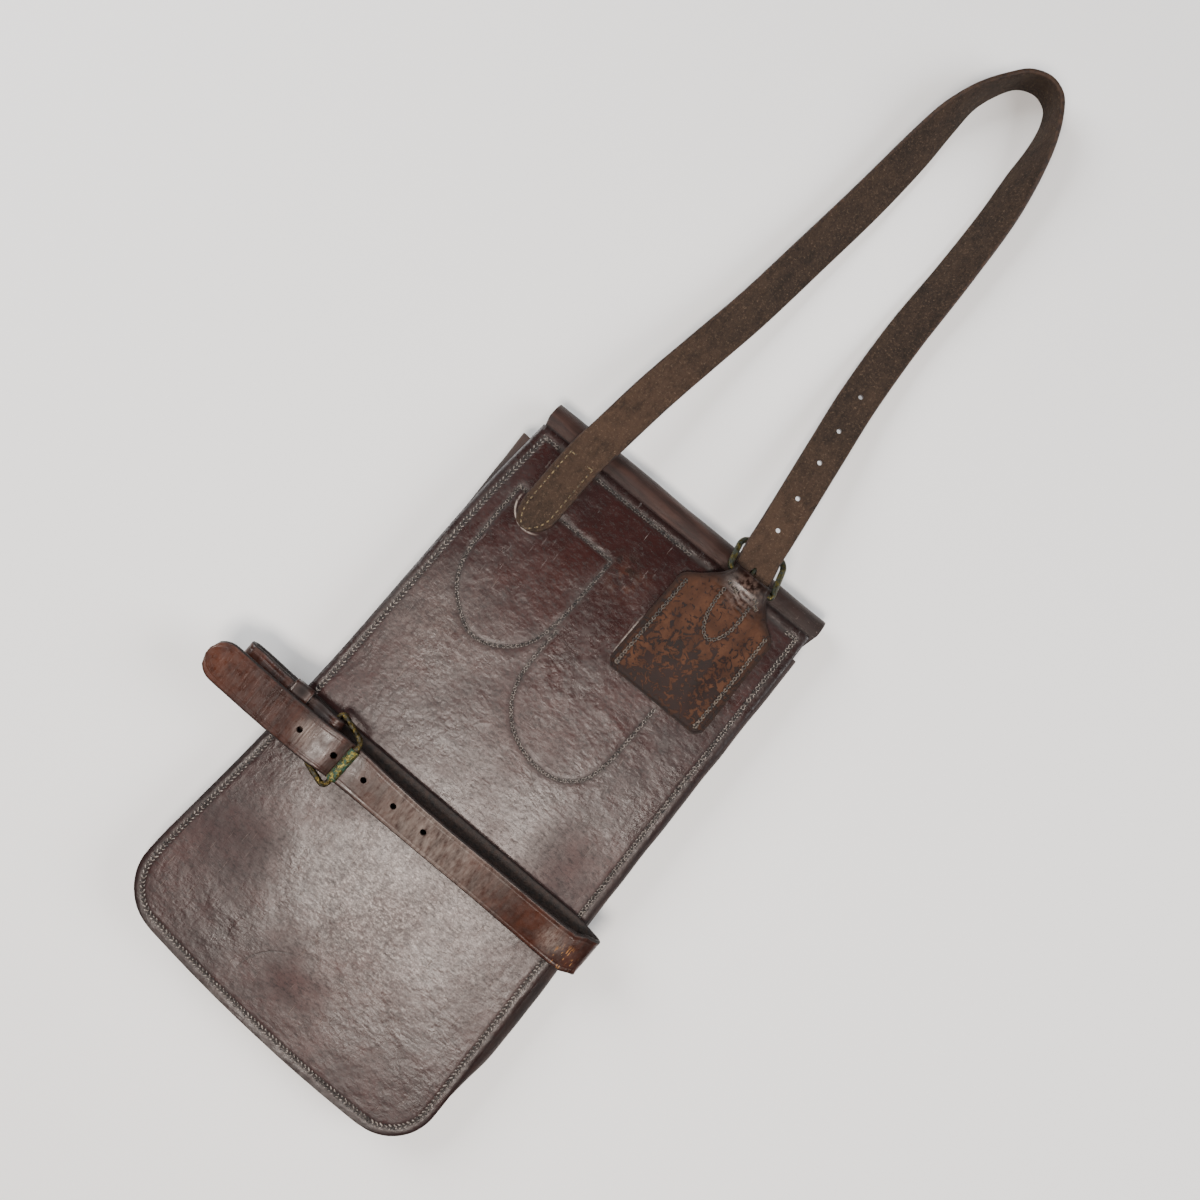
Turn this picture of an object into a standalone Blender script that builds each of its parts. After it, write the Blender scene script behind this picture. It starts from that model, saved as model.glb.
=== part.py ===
"""Leather dispatch case with a shoulder strap and a waist belt, lying on its flap.

Lengths in this file are millimetres and become metres where a mesh is made. The origin lies
on the floor under the middle of the body, +Y runs towards the shoulder strap, +X to the right
of someone who looks down on the back panel, and +Z is up.
"""
import math

import bmesh
import bpy
from mathutils import Vector

MM = 0.001
GAP = 0.3

# Body: a flat pouch, as thick as the roll of the flap and the back panel together
BACK_TOP_Z = 26.0
BACK_THICKNESS = 3.0
FLAP_THICKNESS = 2.6
FRONT_THICKNESS = 2.2
GUSSET_THICKNESS = 1.8
GUSSET_FACE = -0.6
GUSSET_SHOULDER_HEIGHT = 0.3
GUSSET_SHOULDER_OUT = 0.8
CROWN_HEIGHT = 1.2
CROWN_END = 0.76
TOP_EDGE_Y = 203.0
TOP_EDGE_SLOPE = 0.0095
BOTTOM_EDGE = {"middle_y": -204.0, "slope": -0.0598, "curve": 0.000448}
LEFT_CORNER_RADIUS = 30.0
RIGHT_CORNER_RADIUS = 32.0
# Share of the way up the body, left edge, right edge
BODY_EDGES = [
    {"up": 0.00, "left": -126.3, "right": 115.6},
    {"up": 0.10, "left": -125.8, "right": 115.6},
    {"up": 0.20, "left": -122.2, "right": 114.3},
    {"up": 0.33, "left": -117.5, "right": 112.8},
    {"up": 0.50, "left": -113.2, "right": 111.6},
    {"up": 0.70, "left": -111.0, "right": 109.5},
    {"up": 0.85, "left": -109.3, "right": 108.3},
    {"up": 1.00, "left": -104.6, "right": 106.6},
]
FRONT_END = 0.955

# Gusset: its flanges lie inside the two panels, its wall bulges past them
GUSSET_TOP_Y = 191.0
GUSSET_FLANGE = 9.0
GUSSET_REST_BULGE = 0.4
LEFT_MOUTH_FLARE = 7.0
LEFT_FLARE_START_Y = 115.0
# How far the right wall stands out at each height
RIGHT_BULGE = [
    {"y": -180.0, "out": 0.4},
    {"y": -165.0, "out": 1.4},
    {"y": -150.0, "out": 3.4},
    {"y": -130.0, "out": 6.4},
    {"y": -110.0, "out": 7.6},
    {"y": -60.0, "out": 7.6},
    {"y": -20.0, "out": 4.6},
    {"y": 60.0, "out": 4.2},
    {"y": 190.0, "out": 4.6},
]

# Flap: starts under the top edge of the back panel, rolls over the mouth and covers the front
FLAP_START_Y = 193.0
FLAP_ROLL_Y = 208.6
FLAP_END_Y = -150.0
FLAP_LEFT_X = -105.5
FLAP_RIGHT_X = 110.0
FLAP_SIDE_INSET = 1.5
FLAP_CORNER_RADIUS = 45.0
FLAP_LEFT_LIMIT = -123.0
FLAP_SEAM_Y = 150.0
FLAP_SEAM_LENGTH = 45.0

# Shoulder strap, one inch wide, which stands on its edge where it turns
STRAP_WIDTH = 25.4
STRAP_THICKNESS = 3.2
STRAP_HOLE_RADIUS = 1.9
STRAP_POINT_LENGTH = 17.0
STRAP_HOLE_PITCH = 25.4
STRAP_OPEN_HOLES = 5
STRAP_TIP_ASIDE = 15.0
STRAP_TIP_OPENING = 0.02
STRAP_PRONG_HOLE_Y = 217.0
# The strap slopes, so its holes lie a little closer together in plan
STRAP_HOLE_SLOPE = 0.985
STRAP_GUIDE_LENGTH = 14.0
# Inner edge of the strap from its sewn end round to its tail, and how far it leans on edge
STRAP_ROUTE = [
    {"x": -60.0, "y": 143.5, "z": 26.3, "lean": 0.0},
    {"x": -59.6, "y": 170.0, "z": 26.3, "lean": 0.0},
    {"x": -58.8, "y": 200.0, "z": 26.4, "lean": 0.0},
    {"x": -56.2, "y": 220.0, "z": 25.4, "lean": 0.0},
    {"x": -51.9, "y": 258.4, "z": 20.0, "lean": 8.0},
    {"x": -45.9, "y": 299.4, "z": 13.0, "lean": 15.0},
    {"x": -39.5, "y": 340.5, "z": 8.0, "lean": 20.0},
    {"x": -33.5, "y": 392.0, "z": 4.0, "lean": 23.0},
    {"x": -27.8, "y": 443.5, "z": 1.6, "lean": 26.0},
    {"x": -25.6, "y": 484.4, "z": 0.5, "lean": 36.0},
    {"x": -26.2, "y": 515.0, "z": 0.3, "lean": 54.0},
    {"x": -25.8, "y": 535.0, "z": 0.3, "lean": 74.0},
    {"x": -20.0, "y": 552.5, "z": 0.3, "lean": 86.0},
    {"x": -12.0, "y": 564.2, "z": 0.3, "lean": 90.0},
    {"x": 1.0, "y": 569.0, "z": 0.3, "lean": 90.0},
    {"x": 12.8, "y": 564.4, "z": 0.3, "lean": 87.0},
    {"x": 18.9, "y": 552.5, "z": 0.3, "lean": 80.0},
    {"x": 21.3, "y": 535.3, "z": 0.3, "lean": 66.0},
    {"x": 21.4, "y": 515.0, "z": 0.3, "lean": 50.0},
    {"x": 23.0, "y": 484.6, "z": 0.3, "lean": 38.0},
    {"x": 23.4, "y": 444.0, "z": 0.6, "lean": 30.0},
    {"x": 22.2, "y": 392.4, "z": 3.0, "lean": 14.0},
    {"x": 24.7, "y": 340.3, "z": 9.0, "lean": 5.0},
    {"x": 29.5, "y": 298.9, "z": 15.0, "lean": 2.0},
    {"x": 34.6, "y": 258.2, "z": 21.0, "lean": 0.0},
    {"x": 37.0, "y": 238.0, "z": 24.6, "lean": 0.0},
    {"x": 38.8, "y": 222.0, "z": 26.7, "lean": 0.0},
    {"x": 41.6, "y": 210.0, "z": 26.7, "lean": 0.0},
    {"x": 42.8, "y": 196.0, "z": 26.3, "lean": 0.0},
    {"x": 43.4, "y": 172.0, "z": 26.3, "lean": 0.0},
    {"x": 43.4, "y": 152.0, "z": 26.3, "lean": 0.0},
]

# Chape of the shoulder strap: a shield-shaped patch whose neck is folded round the buckle bar
CHAPE_THICKNESS = 2.2
CHAPE_MIDDLE_X = 55.3
CHAPE_TOP_HALF_SPREAD = 13.5
CHAPE_FOLD_SPREAD = 25.5
CHAPE_BOTTOM_Y = 112.5
BAR_Y = 206.8
BAR_Z = 34.3
CHAPE_LOOP_RADIUS = 3.4
# The leaf's middle from its folded end, round the bar, to the patch's bottom edge
CHAPE_UNDER = [
    {"y": 164.0, "z": 30.95, "half": 11.0},
    {"y": 182.0, "z": 30.95, "half": 11.0},
    {"y": 197.0, "z": 30.9, "half": 12.5},
]
CHAPE_OVER = [
    {"y": 201.0, "z": 36.9, "half": 16.5},
    {"y": 194.0, "z": 35.3, "half": 24.5},
    {"y": 186.0, "z": 34.0, "half": 35.0},
    {"y": 176.0, "z": 33.6, "half": 36.0},
    {"y": 164.0, "z": 33.5, "half": 36.2},
    {"y": 156.0, "z": 32.6, "half": 36.4},
    {"y": 146.0, "z": 31.2, "half": 36.6},
    {"y": 134.0, "z": 29.6, "half": 36.8},
    {"y": 122.0, "z": 28.2, "half": 37.0},
    {"y": 116.5, "z": 27.6, "half": 36.6},
]

# Strap buckle: a brass wire frame, its bar in the neck and its far end under the strap
BUCKLE_WIRE_RADIUS = 2.0
STRAP_BUCKLE_CORNERS = [
    {"x": 39.0, "y": 206.8, "z": 34.3, "round": 3.0},
    {"x": 72.0, "y": 206.8, "z": 34.3, "round": 3.0},
    {"x": 66.2, "y": 231.0, "z": 23.4, "round": 7.0},
    {"x": 35.2, "y": 227.2, "z": 23.4, "round": 7.0},
]
PRONG_RADIUS = 1.2
PRONG_HOLE_RADIUS = 1.75
STRAP_PRONG_START = (53.98, 208.75, 33.02)
STRAP_PRONG_END = (51.2, 233.0, 16.3)

# Waist belt, a little over an inch wide, buckled into a flattened loop
BELT_WIDTH = 27.0
BELT_THICKNESS = 3.2
BELT_HOLE_RADIUS = 2.1
BELT_HOLES_X = [-98.5, -73.0, -49.8, -25.7, -1.6]
BELT_TIP_LENGTH = 13.0
BELT_TIP_SHARE = 0.45
BELT_GUIDE_LENGTH = 5.0
BELT_CHAPE_Y = -29.5
BELT_BAR = {"x": -85.5, "z": 36.1}
BELT_BAR_LOOP = 3.9
# Middle of the belt from its folded chape end to the fold on the left
BELT_CHAPE = [
    {"x": -85.5, "y": -29.5, "z": 40.0, "lean": 0.0},
    {"x": -93.0, "y": -29.5, "z": 38.2, "lean": 0.0},
    {"x": -103.0, "y": -29.5, "z": 36.0, "lean": 0.0},
    {"x": -121.0, "y": -29.5, "z": 35.4, "lean": 0.0},
    {"x": -134.0, "y": -29.5, "z": 33.4, "lean": 0.0},
    {"x": -146.0, "y": -29.0, "z": 31.0, "lean": 0.0},
]
BELT_LEFT_FOLD = {"x": -152.5, "z": 27.2, "radius": 3.6, "y": -29.0}
# Under layer, whose height over the back panel is worked out between these places
BELT_UNDER = [
    {"x": -146.0, "y": -29.0, "z": 23.8, "lean": 0.0},
    {"x": -132.0, "y": -29.5, "z": 25.2, "lean": 0.0},
    {"x": -118.0, "y": -29.5, "z": 28.2, "lean": 0.0},
]
BELT_UNDER_ENDS = [{"x": -110.0, "y": -29.5}, {"x": 104.0, "y": -32.5}]
BELT_UNDER_STEPS = 8
BELT_UNDER_GAP = 0.4
BELT_FOLD_LEAN = 10.0
BELT_RIGHT_FOLD = {"x": 119.6, "z": 31.9, "radius": 3.8, "y": -34.8}
# Top layer and tongue, from the fold on the right to the tip
BELT_TOP = [
    {"x": 112.0, "y": -38.2, "z": 36.6, "lean": 10.0},
    {"x": 98.0, "y": -38.4, "z": 37.0, "lean": 15.0},
    {"x": 50.0, "y": -37.6, "z": 37.4, "lean": 18.0},
    {"x": -5.0, "y": -37.2, "z": 37.6, "lean": 18.0},
    {"x": -40.0, "y": -36.2, "z": 37.8, "lean": 12.0},
    {"x": -64.5, "y": -35.2, "z": 38.6, "lean": 2.0},
    {"x": -76.0, "y": -34.8, "z": 42.3, "lean": 0.0},
    {"x": -85.5, "y": -35.2, "z": 43.8, "lean": 0.0},
    {"x": -97.0, "y": -35.4, "z": 43.4, "lean": 0.0},
    {"x": -113.0, "y": -35.8, "z": 41.6, "lean": 0.0},
    {"x": -130.0, "y": -35.7, "z": 40.4, "lean": 0.0},
    {"x": -150.0, "y": -35.3, "z": 39.0, "lean": 0.0},
    {"x": -173.0, "y": -34.8, "z": 37.6, "lean": 0.0},
]
BELT_TAIL_END_X = -103.0
BELT_WIRE_RADIUS = 1.9
BELT_BUCKLE_CORNERS = [
    {"x": -85.5, "y": -12.6, "z": 36.1, "round": 4.0},
    {"x": -85.5, "y": -49.4, "z": 36.1, "round": 4.0},
    {"x": -65.5, "y": -53.2, "z": 44.7, "round": 5.0},
    {"x": -64.1, "y": -17.8, "z": 44.7, "round": 5.0},
]
ROLLER_RADIUS = 3.3
ROLLER_LENGTH = 23.0
BELT_PRONG_END = (-58.0, -33.4, 32.6)
KEEPER_X = (-120.0, -106.0)
KEEPER_THICKNESS = 1.6
KEEPER_MIDDLE = {"y": -29.5, "z": 35.5}
KEEPER_PLAY = {"y": 0.5, "z": 0.4}

# Colours, as linear red, green and blue
DARK_BROWN = (0.062, 0.040, 0.038)
BROWN = (0.095, 0.050, 0.038)
BRASS = (0.42, 0.33, 0.16)


def between(low, high, share):
    return low + (high - low) * share


def read_curve(table, along, column, place):
    """Smooth curve through the rows of a table, with the slope of their neighbours."""
    last = len(table) - 1
    sign = 1.0 if table[last][along] > table[0][along] else -1.0
    row = 0
    while row < last - 1 and (place - table[row + 1][along]) * sign > 0:
        row += 1

    def slope(index):
        low, high = max(index - 1, 0), min(index + 1, last)
        rise = table[high][column] - table[low][column]
        return rise / (table[high][along] - table[low][along])

    start, end = table[row], table[row + 1]
    span = end[along] - start[along]
    t = min(max((place - start[along]) / span, 0.0), 1.0)
    return ((2 * t**3 - 3 * t**2 + 1) * start[column] + (t**3 - 2 * t**2 + t) * span * slope(row)
            + (3 * t**2 - 2 * t**3) * end[column] + (t**3 - t**2) * span * slope(row + 1))


def smooth_route(rows, step):
    """Points every few millimetres along a smooth route, each with all of its columns."""
    columns = list(rows[0])
    distance = 0.0
    marked = []
    for index, row in enumerate(rows):
        if index:
            before = rows[index - 1]
            distance += math.dist([row[c] for c in "xyz"], [before[c] for c in "xyz"])
        marked.append(dict(row, along=distance))
    count = max(2, round(distance / step))
    return [{c: read_curve(marked, "along", c, distance * i / count) for c in columns}
            for i in range(count + 1)]


def bottom_y(x):
    return BOTTOM_EDGE["middle_y"] + BOTTOM_EDGE["slope"] * x + BOTTOM_EDGE["curve"] * x * x


def top_y(x):
    return TOP_EDGE_Y + TOP_EDGE_SLOPE * x


def corner_cut(distance, radius):
    """How far a round corner draws the side in at a distance from the end edge."""
    if distance >= radius:
        return 0.0
    return radius - math.sqrt(max(radius**2 - (radius - distance)**2, 0.0))


def body_side(side, up):
    """A point of the body's outline on its left or right edge."""
    x = read_curve(BODY_EDGES, "up", side, up)
    length = top_y(x) - bottom_y(x)
    radius = LEFT_CORNER_RADIUS if side == "left" else RIGHT_CORNER_RADIUS
    inward = corner_cut(up * length, radius)
    x += inward if side == "left" else -inward
    return x, between(bottom_y(x), top_y(x), up)


def panel_top(x, y):
    """Height of the back panel's upper face: flat at its rim and under the straps."""
    up = (y - bottom_y(x)) / (top_y(x) - bottom_y(x))
    if not 0.0 < up < CROWN_END:
        return BACK_TOP_Z
    left, right = (read_curve(BODY_EDGES, "up", side, up) for side in ("left", "right"))
    across = min(abs((2 * x - left - right) / (right - left)), 1.0)
    return BACK_TOP_Z + CROWN_HEIGHT * (1 - across**4) * math.sin(math.pi * up / CROWN_END) ** 2


def finish(name, colour, roughness, metallic=0.0):
    """A plain material for one sub-part."""
    material = bpy.data.materials.new(name)
    material.use_nodes = True
    shader = material.node_tree.nodes["Principled BSDF"]
    shader.inputs["Base Color"].default_value = (*colour, 1.0)
    shader.inputs["Roughness"].default_value = roughness
    shader.inputs["Metallic"].default_value = metallic
    return material


def place_mesh(name, mesh, material):
    """Put a mesh into the scene as one named sub-part, turned from millimetres to metres."""
    bmesh.ops.scale(mesh, vec=(MM, MM, MM), verts=mesh.verts)
    data = bpy.data.meshes.new(name)
    mesh.to_mesh(data)
    mesh.free()
    data.materials.append(material)
    piece = bpy.data.objects.new(name, data)
    bpy.context.scene.collection.objects.link(piece)
    return piece


def leather_sheet(name, columns, rows, place, thickness, material, offset=-1.0):
    """A grid whose points are placed by a rule and given a wall by Solidify."""
    mesh = bmesh.new()
    bmesh.ops.create_grid(mesh, x_segments=columns, y_segments=rows, size=0.5)
    for vert in mesh.verts:
        vert.co = place(vert.co.x + 0.5, vert.co.y + 0.5)
    piece = place_mesh(name, mesh, material)
    wall = piece.modifiers.new("wall", "SOLIDIFY")
    wall.thickness = thickness * MM
    wall.offset = offset
    return piece


def loft(name, rings, material, closed=False):
    """One solid through a row of rings, with flat ends or joined to itself."""
    mesh = bmesh.new()
    loops = [[mesh.verts.new(point) for point in ring] for ring in rings]
    size = len(loops[0])
    pairs = list(zip(loops, loops[1:] + loops[:1])) if closed else list(zip(loops, loops[1:]))
    for near, far in pairs:
        for i in range(size):
            mesh.faces.new((near[i], near[(i + 1) % size], far[(i + 1) % size], far[i]))
    if not closed:
        mesh.faces.new(list(reversed(loops[0])))
        mesh.faces.new(loops[-1])
    bmesh.ops.recalc_face_normals(mesh, faces=mesh.faces)
    return place_mesh(name, mesh, material)


def tangents(points):
    found = []
    for i in range(len(points)):
        low, high = max(i - 1, 0), min(i + 1, len(points) - 1)
        found.append((points[high] - points[low]).normalized())
    return found


def band(name, middles, sideways, thickness, material, trims):
    """A strap of flat section swept along its middle, its broad side along each side vector."""
    rings = []
    edge = min(0.7, thickness * 0.3)
    for i, (middle, forward) in enumerate(zip(middles, tangents(middles))):
        side = (sideways[i] - forward * sideways[i].dot(forward)).normalized()
        up = forward.cross(side)
        low, high = trims[i]
        chamfer = min(edge, (high - low) / 4)
        flat = thickness / 2
        corners = [(low + chamfer, -flat), (high - chamfer, -flat), (high, -flat + edge),
                   (high, flat - edge), (high - chamfer, flat), (low + chamfer, flat),
                   (low, flat - edge), (low, -flat + edge)]
        rings.append([middle + side * a + up * b for a, b in corners])
    return loft(name, rings, material)


def rod_rings(start, end, radius, sides=10):
    start, end = Vector(start), Vector(end)
    forward = (end - start).normalized()
    across = forward.cross(Vector((0, 0, 1)))
    across = Vector((0, 1, 0)) if across.length < 0.1 else across.normalized()
    other = forward.cross(across)
    turns = [2 * math.pi * i / sides for i in range(sides)]
    ring = [across * radius * math.cos(a) + other * radius * math.sin(a) for a in turns]
    return [[start + p for p in ring], [end + p for p in ring]]


def cut(piece, cutters):
    """Take hidden guide solids out of a piece."""
    for cutter in cutters:
        cutter.hide_render = True
        cutter.display_type = "WIRE"
        hole = piece.modifiers.new("hole", "BOOLEAN")
        hole.operation = "DIFFERENCE"
        hole.solver = "EXACT"
        hole.object = cutter


def upright_guide(name, middle, length, radius, material):
    reach = Vector((0, 0, length / 2))
    return loft(name, rod_rings(middle - reach, middle + reach, radius), material)


def slot_guide(name, start, end, material):
    """A little wider than the prong that runs from start to end."""
    return loft(name, rod_rings(start, end, PRONG_HOLE_RADIUS), material)


def back_panel(material):
    def place(across, up):
        left, right = body_side("left", up), body_side("right", up)
        x = between(left[0], right[0], across)
        y = between(bottom_y(x), top_y(x), up)
        return Vector((x, y, panel_top(x, y)))

    return leather_sheet("back_panel", 16, 30, lambda a, b: place(a, row_share(b)),
                         BACK_THICKNESS, material)


def row_share(share):
    """Rows lie closer together near the round bottom corners."""
    return share**1.7


def front_panel(material):
    top = FLAP_THICKNESS + GAP + FRONT_THICKNESS

    def place(across, share):
        up = row_share(share) * FRONT_END
        left, right = body_side("left", up), body_side("right", up)
        x = between(left[0], right[0], across)
        return Vector((x, between(bottom_y(x), top_y(x), up), top))

    return leather_sheet("front_panel", 6, 22, place, FRONT_THICKNESS, material)


def flap_stations():
    """The flap's outer face from its seam, over the roll, to its free edge."""
    outer = (BACK_TOP_Z - BACK_THICKNESS - GAP) / 2
    rows = [(FLAP_START_Y, 2 * outer), (FLAP_ROLL_Y - 6.0, 2 * outer)]
    arc_steps = 12
    for i in range(arc_steps + 1):
        turn = math.pi * i / arc_steps
        rows.append((FLAP_ROLL_Y + outer * math.sin(turn), outer + outer * math.cos(turn)))
    front_steps = 9
    round_start = FLAP_END_Y + FLAP_CORNER_RADIUS
    for i in range(1, front_steps + 1):
        rows.append((between(FLAP_ROLL_Y, round_start, i / front_steps), 0.0))
    round_steps = 7
    for i in range(1, round_steps + 1):
        turn = math.pi / 2 * i / round_steps
        rows.append((round_start - FLAP_CORNER_RADIUS * math.sin(turn), 0.0))
    return rows


def flap(material):
    rows = flap_stations()

    def place(across, share):
        y, z = rows[round(share * (len(rows) - 1))]
        up = min(max((y - BOTTOM_EDGE["middle_y"]) / (TOP_EDGE_Y - BOTTOM_EDGE["middle_y"]), 0), 1)
        left = max(read_curve(BODY_EDGES, "up", "left", up) + FLAP_SIDE_INSET,
                   FLAP_LEFT_LIMIT)
        right = read_curve(BODY_EDGES, "up", "right", up) - FLAP_SIDE_INSET
        seam = min(max((y - FLAP_SEAM_Y) / FLAP_SEAM_LENGTH, 0.0), 1.0)
        left, right = between(left, FLAP_LEFT_X, seam), between(right, FLAP_RIGHT_X, seam)
        inward = corner_cut(y - FLAP_END_Y, FLAP_CORNER_RADIUS) if z == 0.0 else 0.0
        return Vector((between(left + inward, right - inward, across), y, z))

    return leather_sheet("flap", 6, len(rows) - 1, place, FLAP_THICKNESS, material)


def body_outline():
    """Points round the body from the mouth on the left, along the bottom, to the right."""
    def side(name, shares):
        return [Vector((*body_side(name, up), 0.0)) for up in shares]

    high = (GUSSET_TOP_Y - BOTTOM_EDGE["middle_y"]) / (TOP_EDGE_Y - BOTTOM_EDGE["middle_y"])
    straight = [between(high, 0.08, i / 16) for i in range(17)]
    corner = [0.08 * (1 - math.sin(math.pi / 2 * i / 7)) for i in range(1, 7)]
    start, end = body_side("left", 0.0)[0], body_side("right", 0.0)[0]
    bottom = [Vector((between(start, end, i / 8), bottom_y(between(start, end, i / 8)), 0.0))
              for i in range(9)]
    shares = straight + corner
    return side("left", shares) + bottom + side("right", shares[::-1])


def gusset_bulge(point, index, count):
    if index < count / 2 and point.y > LEFT_FLARE_START_Y:
        share = (point.y - LEFT_FLARE_START_Y) / (GUSSET_TOP_Y - LEFT_FLARE_START_Y)
        return GUSSET_REST_BULGE + LEFT_MOUTH_FLARE * share
    if index > count / 2 and point.x > 90.0:
        return read_curve(RIGHT_BULGE, "y", "out", max(point.y, RIGHT_BULGE[0]["y"]))
    return GUSSET_REST_BULGE


def gusset(material):
    """The side and bottom wall: a channel section carried round three sides of the body."""
    top = BACK_TOP_Z - BACK_THICKNESS - GAP
    bottom = FLAP_THICKNESS + FRONT_THICKNESS + 2 * GAP
    middle = (top + bottom) / 2
    shoulder = (top - bottom) * GUSSET_SHOULDER_HEIGHT
    wall = GUSSET_THICKNESS
    face = GUSSET_FACE
    outline = body_outline()
    rings = []
    for index, (point, forward) in enumerate(zip(outline, tangents(outline))):
        outward = Vector((forward.y, -forward.x, 0.0))
        bulge = gusset_bulge(point, index, len(outline))
        side = face + bulge * GUSSET_SHOULDER_OUT
        chain = [(-GUSSET_FLANGE, top), (face, top), (side, middle + shoulder),
                 (face + bulge, middle), (side, middle - shoulder),
                 (face, bottom), (-GUSSET_FLANGE, bottom)]
        back = [(-GUSSET_FLANGE, bottom + wall), (face - wall, bottom + wall),
                (side - wall, middle - shoulder), (face + bulge - wall, middle),
                (side - wall, middle + shoulder), (face - wall, top - wall),
                (-GUSSET_FLANGE, top - wall)]
        rings.append([point + outward * a + Vector((0, 0, b)) for a, b in chain + back])
    return loft("gusset", rings, material)


def strap_edges(distance_from_tip):
    """Where the sewn end comes to a point that leans to the outer edge."""
    share = min(distance_from_tip / STRAP_POINT_LENGTH, 1.0)
    open_share = math.sqrt(max(1.0 - (1.0 - share) ** 2, STRAP_TIP_OPENING))
    return (between(STRAP_TIP_ASIDE, 0.0, open_share) - STRAP_WIDTH / 2,
            between(STRAP_TIP_ASIDE, STRAP_WIDTH, open_share) - STRAP_WIDTH / 2)


def shoulder_strap(material):
    points = smooth_route(STRAP_ROUTE, 9.0)
    extra = smooth_route(STRAP_ROUTE[:2], 3.0)[:6]
    points = extra + [p for p in points if p["x"] > extra[-1]["x"] + 0.5 or p["y"] > 165.0]
    base = [Vector((p["x"], p["y"], p["z"])) for p in points]
    middles, sides = [], []
    for place, forward, point in zip(base, tangents(base), points):
        lean = math.radians(point["lean"])
        out = Vector((-forward.y, forward.x, 0.0)).normalized()
        side = out * math.cos(lean) + Vector((0, 0, math.sin(lean)))
        up = forward.cross(side).normalized()
        middles.append(place + side * STRAP_WIDTH / 2 + up * STRAP_THICKNESS / 2)
        sides.append(side)
    trims = [strap_edges(abs(p["y"] - STRAP_ROUTE[0]["y"]) + 0.3) if p["x"] < -50 else
             (-STRAP_WIDTH / 2, STRAP_WIDTH / 2) for p in points]
    strap = band("shoulder_strap", middles, sides, STRAP_THICKNESS, material, trims)
    holes = []
    for number in range(STRAP_OPEN_HOLES):
        wanted = STRAP_PRONG_HOLE_Y + STRAP_HOLE_PITCH * (number + 1) * STRAP_HOLE_SLOPE
        right = [i for i, m in enumerate(middles) if m.x > 20.0]
        nearest = min(right, key=lambda i: abs(middles[i].y - wanted))
        step = -1 if middles[nearest].y < wanted else 1
        other = middles[nearest + step]
        share = (wanted - middles[nearest].y) / (other.y - middles[nearest].y)
        middle = middles[nearest].lerp(other, share)
        holes.append(upright_guide(f"strap_hole_guide_{number}", middle, STRAP_GUIDE_LENGTH,
                                   STRAP_HOLE_RADIUS, material))
    holes.append(slot_guide("strap_prong_guide", STRAP_PRONG_START, STRAP_PRONG_END, material))
    cut(strap, holes)
    return strap


def strap_chape(material):
    loop_steps = 8
    rows = list(CHAPE_UNDER)
    for i in range(loop_steps + 1):
        turn = -math.pi / 2 + math.pi * i / loop_steps
        rows.append({"y": BAR_Y + CHAPE_LOOP_RADIUS * math.cos(turn),
                     "z": BAR_Z + CHAPE_LOOP_RADIUS * math.sin(turn),
                     "half": CHAPE_TOP_HALF_SPREAD})
    rows += CHAPE_OVER
    rows.append({"y": CHAPE_BOTTOM_Y, "z": 27.5, "half": 33.0})
    under_rows = len(CHAPE_UNDER) + loop_steps // 2
    flat_z = BACK_TOP_Z + GAP + CHAPE_THICKNESS / 2

    def place(across, share):
        index = round(share * (len(rows) - 1))
        row = rows[index]
        aside = (2 * across - 1) * row["half"]
        z = row["z"]
        if index > under_rows:
            fall = min(max((abs(aside) - CHAPE_TOP_HALF_SPREAD)
                           / (CHAPE_FOLD_SPREAD - CHAPE_TOP_HALF_SPREAD), 0.0), 1.0)
            z = between(z, flat_z, fall * fall * (3 - 2 * fall))
        return Vector((CHAPE_MIDDLE_X + aside, row["y"], z))

    chape = leather_sheet("strap_chape", 14, len(rows) - 1, place, CHAPE_THICKNESS, material, 0.0)
    cut(chape, [slot_guide("chape_slot_guide", STRAP_PRONG_START, STRAP_PRONG_END, material)])
    return chape


def rounded_loop(corners):
    """Points round a closed wire whose corners are arcs."""
    points = []
    count = len(corners)
    places = [Vector((c["x"], c["y"], c["z"])) for c in corners]
    arc_steps = 6
    for i in range(count):
        here, before, after = places[i], places[i - 1], places[(i + 1) % count]
        start = here + (before - here).normalized() * corners[i]["round"]
        end = here + (after - here).normalized() * corners[i]["round"]
        for j in range(arc_steps + 1):
            t = j / arc_steps
            points.append(start * (1 - t) ** 2 + here * 2 * t * (1 - t) + end * t**2)
    return points


def wire_frame(name, corners, radius, material, sides=10):
    points = rounded_loop(corners)
    count = len(points)
    middle = sum(points, Vector()) / count
    normal = (points[0] - middle).cross(points[count // 4] - middle).normalized()
    rings = []
    for i, point in enumerate(points):
        forward = (points[(i + 1) % count] - points[i - 1]).normalized()
        across = forward.cross(normal).normalized()
        ring = []
        for j in range(sides):
            turn = 2 * math.pi * j / sides
            ring.append(point + across * radius * math.cos(turn) + normal * radius * math.sin(turn))
        rings.append(ring)
    return loft(name, rings, material, closed=True)


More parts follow.
